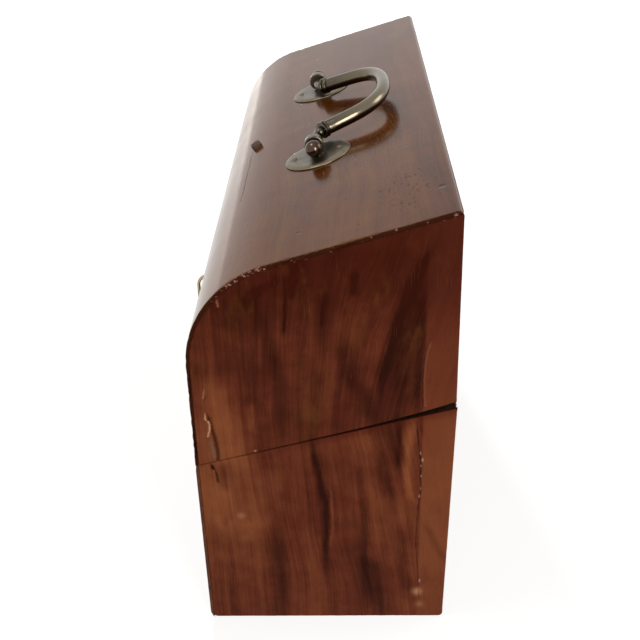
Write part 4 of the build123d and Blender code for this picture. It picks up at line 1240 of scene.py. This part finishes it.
class MESH_OT_long_veneers(Maker, bpy.types.Operator):
    """Veneers of the front and the back"""

    bl_idname = "decanter_box.long_veneers"
    bl_label = "Front and back veneers"

    def make(self, look, wear):
        net, radius = 2.4 * wear.net / MM, wear.edge / MM
        front = long_finish("front_veneer", look, wear, 17.0)
        back = long_finish("back_veneer", look, wear, 23.0, 0.15)
        inner_half = HALF - 1.2
        low_z = lid_rim(LID_BACK_LOW_Y)
        top_z = LID_TOP[1] - SHEET_T / math.cos(SLOPE)

        def lay(body, where, finish, size, thick, face, sign, holes=(), foot=0.0):
            node = f"{body}_{where}_veneer"
            half, low, high = size
            outline = [(-half, low), (half, low), (half, high), (-half, high)]

            def place(x, z, w):
                return (x, face(z) + sign * w, z)

            def sink(x, z, d):
                w = 0.1 + 0.06 * lump(x, sign * 30, z, 40) + 0.02 * lump(x, 5, z, 11)
                w += rounded(d, radius * (0.6 + 0.3 * lump(x, 1, z, 4)))
                return min(thick - 0.25, w + rounded(z, foot) * (z < foot))

            points, faces = skin(outline, thick, place, sink, net=net, holes=holes)
            piece(node + "_worn", body, finish, points, faces, (node,))

        hole = ring((LOCK_X, LOCK_Z), KEYHOLE_R, 56)
        high_z = base_rim(FRONT_Y)
        lay("base", "front", front, (HALF, 0.0, high_z), SHEET_T, front_face, 1, [hole], 4.0)
        high_z = base_rim(RIM_BACK_Y)
        lay("base", "back", back, (inner_half, 0.0, high_z), 1.0, back_face, -1, foot=1.2)
        lay("lid", "back", back, (inner_half, low_z, top_z), 1.0, lid_back, -1)


class MESH_OT_carcass(Maker, bpy.types.Operator):
    """Boards of the case, of the lid and between the wells"""

    bl_idname = "decanter_box.carcass"
    bl_label = "Carcass"

    def make(self, look, wear):
        long_board = board_finish("long_board", look, "z", "x", 1.0)
        dress(long_board, "base_front_board", "base_back_board", "lid_front_board", "lid_back_board")
        flat_board = board_finish("flat_board", look, "y", "x", 6.0)
        dress(flat_board, "base_bottom_board", "lid_top_board", "lid_nose_block")
        end_board = board_finish("end_board", look, "y", "z", 9.0)
        for side, _ in SIDES:
            dress(end_board, "base_end_board_" + side, "lid_end_board_" + side)
        dress(board_finish("divider_board", look, "z", "y", 4.0, 0.2), "divider_left", "divider_right")


class MESH_OT_cloth(Maker, bpy.types.Operator):
    """Velvet pads in the wells and the lining under the lid's top board"""

    bl_idname = "decanter_box.cloth"
    bl_label = "Cloth"

    def make(self, look, wear):
        finish = cloth_finish("velvet", tuple(look.cloth), paint(120, 84, 66))
        edges = [-WELL_HALF, -DIVIDER_X - DIVIDER_T / 2, -DIVIDER_X + DIVIDER_T / 2]
        edges += [-x for x in reversed(edges)]
        for index, name in enumerate(("left", "middle", "right")):
            low, high = edges[2 * index] + 1.0, edges[2 * index + 1] - 1.0
            front, back = WELL_FRONT_Y + 1.0, WELL_BACK_Y - 1.0
            middle = ((low + high) / 2, (front + back) / 2)

            def place(x, y, w):
                return (x, y, FLOOR_Z + PAD_T - w)

            def sink(x, y, d, middle=middle, index=index):
                w = 2.3 * math.exp(-d / 2.2) + 0.35 + 0.18 * lump(x, y, index * 9, 12)
                away = max(abs(x - middle[0]), abs(y - middle[1]))
                w += 0.75 / (1 + math.exp((away - 47) / 1.3))
                return min(w, 2.45)

            outline = [(low, front), (high, front), (high, back), (low, back)]
            points, faces = skin(outline, PAD_T, place, sink, net=2.2, rings=(0.5, 1.2, 2.2, 3.4))
            pad = ("well_pad_" + name,)
            made = piece("well_cloth_" + name, "base", finish, points, faces, pad, 60)

        up = Matrix.Rotation(SLOPE, 3, "X") @ Vector((0, 1, 0))
        out = Matrix.Rotation(SLOPE, 3, "X") @ Vector((0, 0, 1))
        under = NOSE_R - SHEET_T - TOP_BOARD_T
        start = Vector((0, NOSE_Y - NOSE_R * math.sin(SLOPE), NOSE_Z + NOSE_R * math.cos(SLOPE)))
        start = start + out * (under - NOSE_R)
        reach = (WELL_BACK_Y - start.y) / up.y - 0.4
        width = WELL_HALF - 0.6
        plate = slope_frame(HANDLE_X)
        along = (plate.translation - start).dot(up)
        posts = [HANDLE_X + side * POST_HALF_GAP for side in (-1, 1)]
        holes = [ring((x, along), NUT_HOLE_R, 40) for x in posts]

        def hang(x, v, w):
            spot = start + up * v + out * (w - 1.25)
            return (x, spot.y, spot.z)

        def swell(x, v, d):
            return 0.35 + 0.5 * math.exp(-d / 1.2) + 0.14 * lump(x, v, 0, 16) + 0.06 * lump(x, v, 3, 5)

        outline = [(-width, 0.5), (width, 0.5), (width, reach), (-width, reach)]
        points, faces = skin(outline, 1.2, hang, swell, net=3.2, rings=(0.4, 1.0, 2.0), holes=holes)
        made = piece("lid_lining_cloth", "lid", finish, points, faces, ("lid_lining",), 60)


class MESH_OT_handle_plates(Maker, bpy.types.Operator):
    """Round handle plates with a bevelled rim, their posts, pins, washers and nuts"""

    bl_idname = "decanter_box.handle_plates"
    bl_label = "Handle plates and posts"

    def make(self, look, wear):
        # The plates' grime colour also serves as the painted reflection rings round the pins.
        base, bright, grime = tuple(look.brass), tuple(look.rubbed), paint(60, 52, 42)
        brass = brass_finish("plate_brass", base, bright, grime, 0.62, 0.34, plate_rub_and_reflections)
        for side_name, side in SIDES:
            spot = slope_frame(HANDLE_X + side * POST_HALF_GAP)

            def place(x, y, z, spot=spot, side=side):
                dent = 0.05 * lump(x, y, side * 7, 7) + 0.03 * lump(x, y, side * 3, 2.5)
                z = z + dent * (z > 0.5)
                return spot @ Vector((x, y, min(z, PLATE_T)))

            profile = [(2.5, 0.0), (20.35, 0.0), (20.5, 0.15), (20.5, 0.45), (20.3, 0.72), (19.8, 0.98)]
            profile += [(19.0, 1.24), (18.2, 1.45), (17.4, 1.55), (15.0, 1.56), (12.0, 1.55), (9.0, 1.55)]
            profile += [(6.0, 1.56), (2.5, 1.56), (2.5, 0.0)]
            points, faces = lathe(profile, 120, place)
            node = "handle_plate_" + side_name
            piece(node + "_cast", "lid", brass, points, faces, (node,), 50)
        dress(metal("post_brass"), "handle_post_left", "handle_post_right")
        dress(brass, "handle_plate_pins")
        steel = iron_finish("old_steel", paint(120, 116, 108), paint(82, 58, 42))
        dress(steel, "handle_nuts", "handle_washers", "lock_screws", "keeper_screws")
        dress(steel, "hinge_screws_base", "hinge_screws_lid")


class MESH_OT_bail(Maker, bpy.types.Operator):
    """The forged bail with its collars and beads, and the two ball knobs"""

    bl_idname = "decanter_box.bail"
    bl_label = "Bail"

    def make(self, look, wear):
        # The bail's grime colour also serves as its painted underside shade.
        brass = brass_finish(
            "bail_brass", paint(82, 75, 62), tuple(look.rubbed), paint(52, 45, 35), 0.4, 0.2, bail_rub_and_shade
        )
        dark = metal("knob_brass")
        spot = slope_frame(HANDLE_X, SLOPE + BAIL_RAISE, PIVOT_HEIGHT)
        half_w, reach = 46.0, 46.8
        shape = [(1.0, 0.171), (0.972, 0.278), (0.935, 0.406), (0.848, 0.641), (0.696, 0.823)]
        shape += [(0.435, 0.951), (0.0, 1.0)]
        leg = [(half_w * across, reach * up) for across, up in shape]
        neck = [(75.4, 0.0), (63.65, 0.0), (52.2, 1.6)]
        right = neck + leg
        line, along = smooth_line(right + [(-x, y) for x, y in reversed(right[:-1])], 520)
        foot = along[np.argmin(np.abs(line[:, 0] - leg[0][0]) + np.abs(line[:, 1] - leg[0][1]))]

        def radius_at(s):
            """Radius at the way s outward from the end of the leg."""
            if s < 0:
                return ROD_R - 0.5 * math.exp(-(((s + 0.2) / 0.45) ** 2))
            thick = NECK_R if s < 16.6 else PIN_R
            for middle in (0.85, 3.45):
                across = abs(s - middle) / 1.15
                if across < 1:
                    thick = max(thick, COLLAR_R * (1 - across**4) ** 0.25)
            if abs(s - 6.0) < 3.3:
                thick = max(thick, math.sqrt(BEAD_R**2 - (s - 6.0) ** 2))
            return thick

        total = along[-1]
        samples = sorted(
            {round(v, 3) for v in np.linspace(0, total, 260)}
            | {round(foot - o, 3) for o in np.arange(-1.5, 9.6, 0.16)}
            | {round(total - foot + o, 3) for o in np.arange(-1.5, 9.6, 0.16)}
        )
        samples = [s for s in samples if 0 <= s <= total]

        def at(s):
            return [np.interp(s, along, line[:, k]) for k in (0, 1)]

        count = 40
        points = []
        for s in samples:
            x, y = at(s)
            x2, y2 = at(min(s + 0.2, total))
            x1, y1 = at(max(s - 0.2, 0))
            tangent = Vector((x2 - x1, y2 - y1, 0)).normalized()
            side = Vector((-tangent.y, tangent.x, 0))
            r = radius_at(foot - s if s < total / 2 else s - (total - foot))
            for i in range(count):
                a = 2 * math.pi * i / count
                uneven = 1 + (0.012 * lump(x, y, 9 * math.cos(a), 13) if r > 2.1 else 0)
                offset = side * math.cos(a) + Vector((0, 0, math.sin(a)))
                points.append(spot @ (Vector((x, y, 0)) + offset * r * uneven))
        faces = ring_faces(len(samples), count)
        piece("bail_forged", "bail", brass, points, faces, ("bail",), 50)

        for side_name, side in SIDES:
            centre = KNOB_SEAT + KNOB_R - 0.2
            profile = [(0.0, KNOB_SEAT - centre + 0.01)]
            angles = np.linspace(math.pi - 0.28, 0.0, 40)
            profile += [(max(KNOB_R * math.sin(a), 0.0), KNOB_R * math.cos(a)) for a in angles[:-1]]
            profile += [(0.0, KNOB_R)]

            def place(u, v, h, side=side, centre=centre, spot=spot):
                x = side * (centre + h)
                uneven = 1 - 0.012 * abs(lump(u, v, h, 4, side))
                return spot @ Vector((x, u * uneven, v * uneven))

            points, faces = lathe(profile, 64, place)
            node = "bail_knob_" + side_name
            piece(node + "_ball", "bail", dark, points, faces, (node,), 50)


class MESH_OT_stud(Maker, bpy.types.Operator):
    """Square hand-cut stud on the lid's nose"""

    bl_idname = "decanter_box.stud"
    bl_label = "Nose stud"

    def make(self, look, wear):
        finish = iron_finish("stud_iron", paint(78, 66, 52), paint(50, 34, 24))
        a = STUD_ANGLE
        out = Vector((0, math.cos(a), math.sin(a)))
        side = Matrix.Rotation(STUD_TURN, 3, out) @ Vector((1, 0, 0))
        up = out.cross(side)
        origin = Vector((STUD_X, NOSE_Y, NOSE_Z)) + out * NOSE_R
        rows = [(-0.2, STUD_HALF), (1.2, STUD_HALF), (2.0, 3.42), (2.6, 3.25), (3.0, 2.9)]
        rows += [(3.3, 2.3), (3.45, 1.4), (STUD_HEIGHT, 0.5)]
        count = 48
        points = []
        for height, half in rows:
            for i in range(count):
                t = 2 * math.pi * (i + 0.5) / count
                c, s = math.cos(t), math.sin(t)
                squared = half / (abs(c) ** 7 + abs(s) ** 7) ** (1 / 7)
                squared = min(squared, half / max(abs(c), abs(s)))
                squared *= 0.985 + 0.03 * lump(4 * c, 4 * s, height, 2.2)
                u, v = squared * c, squared * s
                u, v = [max(-STUD_HALF, min(STUD_HALF, place)) for place in (u, v)]
                lift = min(STUD_HEIGHT, height + 0.12 * lump(u, v, 0, 1.6))
                points.append(origin + side * u + up * v + out * lift)
        faces = ring_faces(len(rows), count)
        piece("nose_stud_head", "lid", finish, points, faces, ("nose_stud",), 45)


class MESH_OT_hinges(Maker, bpy.types.Operator):
    """Stopped butt hinges"""

    bl_idname = "decanter_box.hinges"
    bl_label = "Hinges"

    def make(self, look, wear):
        brass = metal("hinge_brass")
        for side, _ in SIDES:
            dress(brass, "hinge_leaf_base_" + side, "hinge_leaf_lid_" + side, "hinge_pin_" + side)


class MESH_OT_lock(Maker, bpy.types.Operator):
    """Turn lock, its keeper, the plate round the keyhole and the key"""

    bl_idname = "decanter_box.lock"
    bl_label = "Lock and key"

    def make(self, look, wear):
        dress(metal("lock_brass"), "lock_plate", "lock_cap", "lock_hook", "keeper")
        dress(metal("keyhole_brass"), "escutcheon", "escutcheon_pins")
        dress(metal("key_brass"), "key")


# Stage.

# The eye's place is in metres, its turns are in radians and its lens is in frame widths.
EYE = (0.6615, 0.0126, 0.456)
EYE_TURN, EYE_DROP, EYE_ROLL = -0.027, 0.506, -0.023
EYE_LENS = 1033.18 / 640
FILM = 36.0


class MESH_OT_stage(Maker, bpy.types.Operator):
    """Pale floor, soft lamps, white surroundings and the camera"""

    bl_idname = "decanter_box.stage"
    bl_label = "Stage"

    def make(self, look, wear):
        scene = bpy.context.scene
        mesh = bpy.data.meshes.new("floor")
        reach = 4.0
        corners = [(-reach, -reach, 0), (reach, -reach, 0), (reach, reach, 0), (-reach, reach, 0)]
        mesh.from_pydata(corners, [], [(0, 1, 2, 3)])
        floor = bpy.data.objects.new("floor", mesh)
        floor.location.z = -0.0001
        scene.collection.objects.link(floor)
        mesh.materials.append(self.floor_finish())
        self.surroundings(scene)
        self.lamp("top", (0.25, -0.55, 1.35), (0.45, 0.45), 3.2, (1.0, 0.98, 0.95))
        self.lamp("right", (1.36, 0.57, 0.65), (0.5, 0.85), 13.8, (1.0, 0.98, 0.95))
        self.lamp("left", (-2.43, -0.464, 0.86), (0.26, 0.26), 84.0, (1.0, 0.95, 0.88), False)
        self.lamp("back", (-0.3, 1.5, 1.0), (1.0, 1.0), 9.0, (1.0, 0.98, 0.96))
        self.camera(scene)
        scene.view_settings.view_transform = "Standard"

    def floor_finish(self):
        """A pale floor that shows white to the eye and in reflections, and keeps its shadows."""
        m = Finish("floor")
        seen = self.seen(m)
        grain = m.cloud(m.x * 0.02, m.y * 0.02, 0.0, 4.0)
        pale = m.mix(grain * 0.3, (0.27, 0.27, 0.267), (0.25, 0.25, 0.247))
        diffuse = m.node("ShaderNodeBsdfDiffuse", sockets={"Color": pale})
        glow = m.node("ShaderNodeEmission", sockets={"Color": (1, 1, 1, 1), "Strength": seen * 0.78})
        return m.end(m.node("ShaderNodeAddShader", sockets={0: diffuse, 1: glow}))

    def seen(self, m):
        """1 for rays from the eye, in a reflection or through glass."""
        rays = m.tree.nodes.new("ShaderNodeLightPath")
        seen = Wire(m, rays.outputs["Is Camera Ray"]) + Wire(m, rays.outputs["Is Glossy Ray"])
        return (seen + Wire(m, rays.outputs["Is Transmission Ray"])).below(1.0)

    def surroundings(self, scene):
        scene.world = bpy.data.worlds.new("surroundings")
        m = Finish("surroundings", scene.world)
        strength = self.seen(m) * 0.6 + 0.4
        sockets = {"Color": (1, 1, 1, 1), "Strength": strength}
        m.end(m.node("ShaderNodeBackground", sockets=sockets), "World")

    def lamp(self, name, place, size, power, colour, mirrored=True):
        light = bpy.data.lights.new(name, "AREA")
        light.shape = "ELLIPSE"
        light.size, light.size_y = size
        light.energy = power
        light.color = colour
        made = bpy.data.objects.new(name, light)
        made.location = place
        made.visible_glossy = mirrored
        aim = Vector((0, 0, 0.13)) - Vector(place)
        made.rotation_euler = aim.to_track_quat("-Z", "Y").to_euler()
        bpy.context.scene.collection.objects.link(made)

    def camera(self, scene):
        """The eye stands off the right end, a little above the box, and looks down on it."""
        level = math.cos(EYE_DROP)
        ahead = Vector((-level * math.cos(EYE_TURN), level * math.sin(EYE_TURN), -math.sin(EYE_DROP)))
        right = ahead.cross(Vector((0, 0, 1))).normalized()
        up = right.cross(ahead)
        aim = Matrix((right, up, -ahead)).transposed().to_4x4() @ Matrix.Rotation(EYE_ROLL, 4, "Z")
        data = bpy.data.cameras.new("eye")
        data.sensor_width = FILM
        data.lens = EYE_LENS * FILM
        data.clip_start = 0.01
        made = bpy.data.objects.new("eye", data)
        made.matrix_world = Matrix.Translation(EYE) @ aim
        scene.collection.objects.link(made)
        scene.camera = made


class VIEW3D_PT_decanter_box(bpy.types.Panel):
    """Lists the pieces of the box and their sizes and colours"""

    bl_idname = "VIEW3D_PT_decanter_box"
    bl_label = "Decanter Box"
    bl_space_type = "VIEW_3D"
    bl_region_type = "UI"
    bl_category = "Decanter Box"

    def draw(self, context):
        for group in (context.scene.box_wear, context.scene.box_colours):
            box = self.layout.box()
            for key in group.bl_rna.properties.keys():
                if key not in ("rna_type", "name"):
                    box.prop(group, key)
        for operator in OPERATORS:
            self.layout.operator(operator.bl_idname)


OPERATORS = (
    MESH_OT_stage,
    MESH_OT_end_veneers,
    MESH_OT_top_sheet,
    MESH_OT_long_veneers,
    MESH_OT_carcass,
    MESH_OT_cloth,
    MESH_OT_handle_plates,
    MESH_OT_bail,
    MESH_OT_stud,
    MESH_OT_hinges,
    MESH_OT_lock,
)
CLASSES = (BoxColours, BoxWear, *OPERATORS, VIEW3D_PT_decanter_box)


def register():
    for item in CLASSES:
        bpy.utils.register_class(item)
    bpy.types.Scene.box_colours = bpy.props.PointerProperty(type=BoxColours)
    bpy.types.Scene.box_wear = bpy.props.PointerProperty(type=BoxWear)


def unregister():
    del bpy.types.Scene.box_wear
    del bpy.types.Scene.box_colours
    for item in reversed(CLASSES):
        bpy.utils.unregister_class(item)


def main():
    register()
    for operator in OPERATORS:
        group, name = operator.bl_idname.split(".")
        getattr(getattr(bpy.ops, group), name)()


if __name__ == "__main__":
    main()
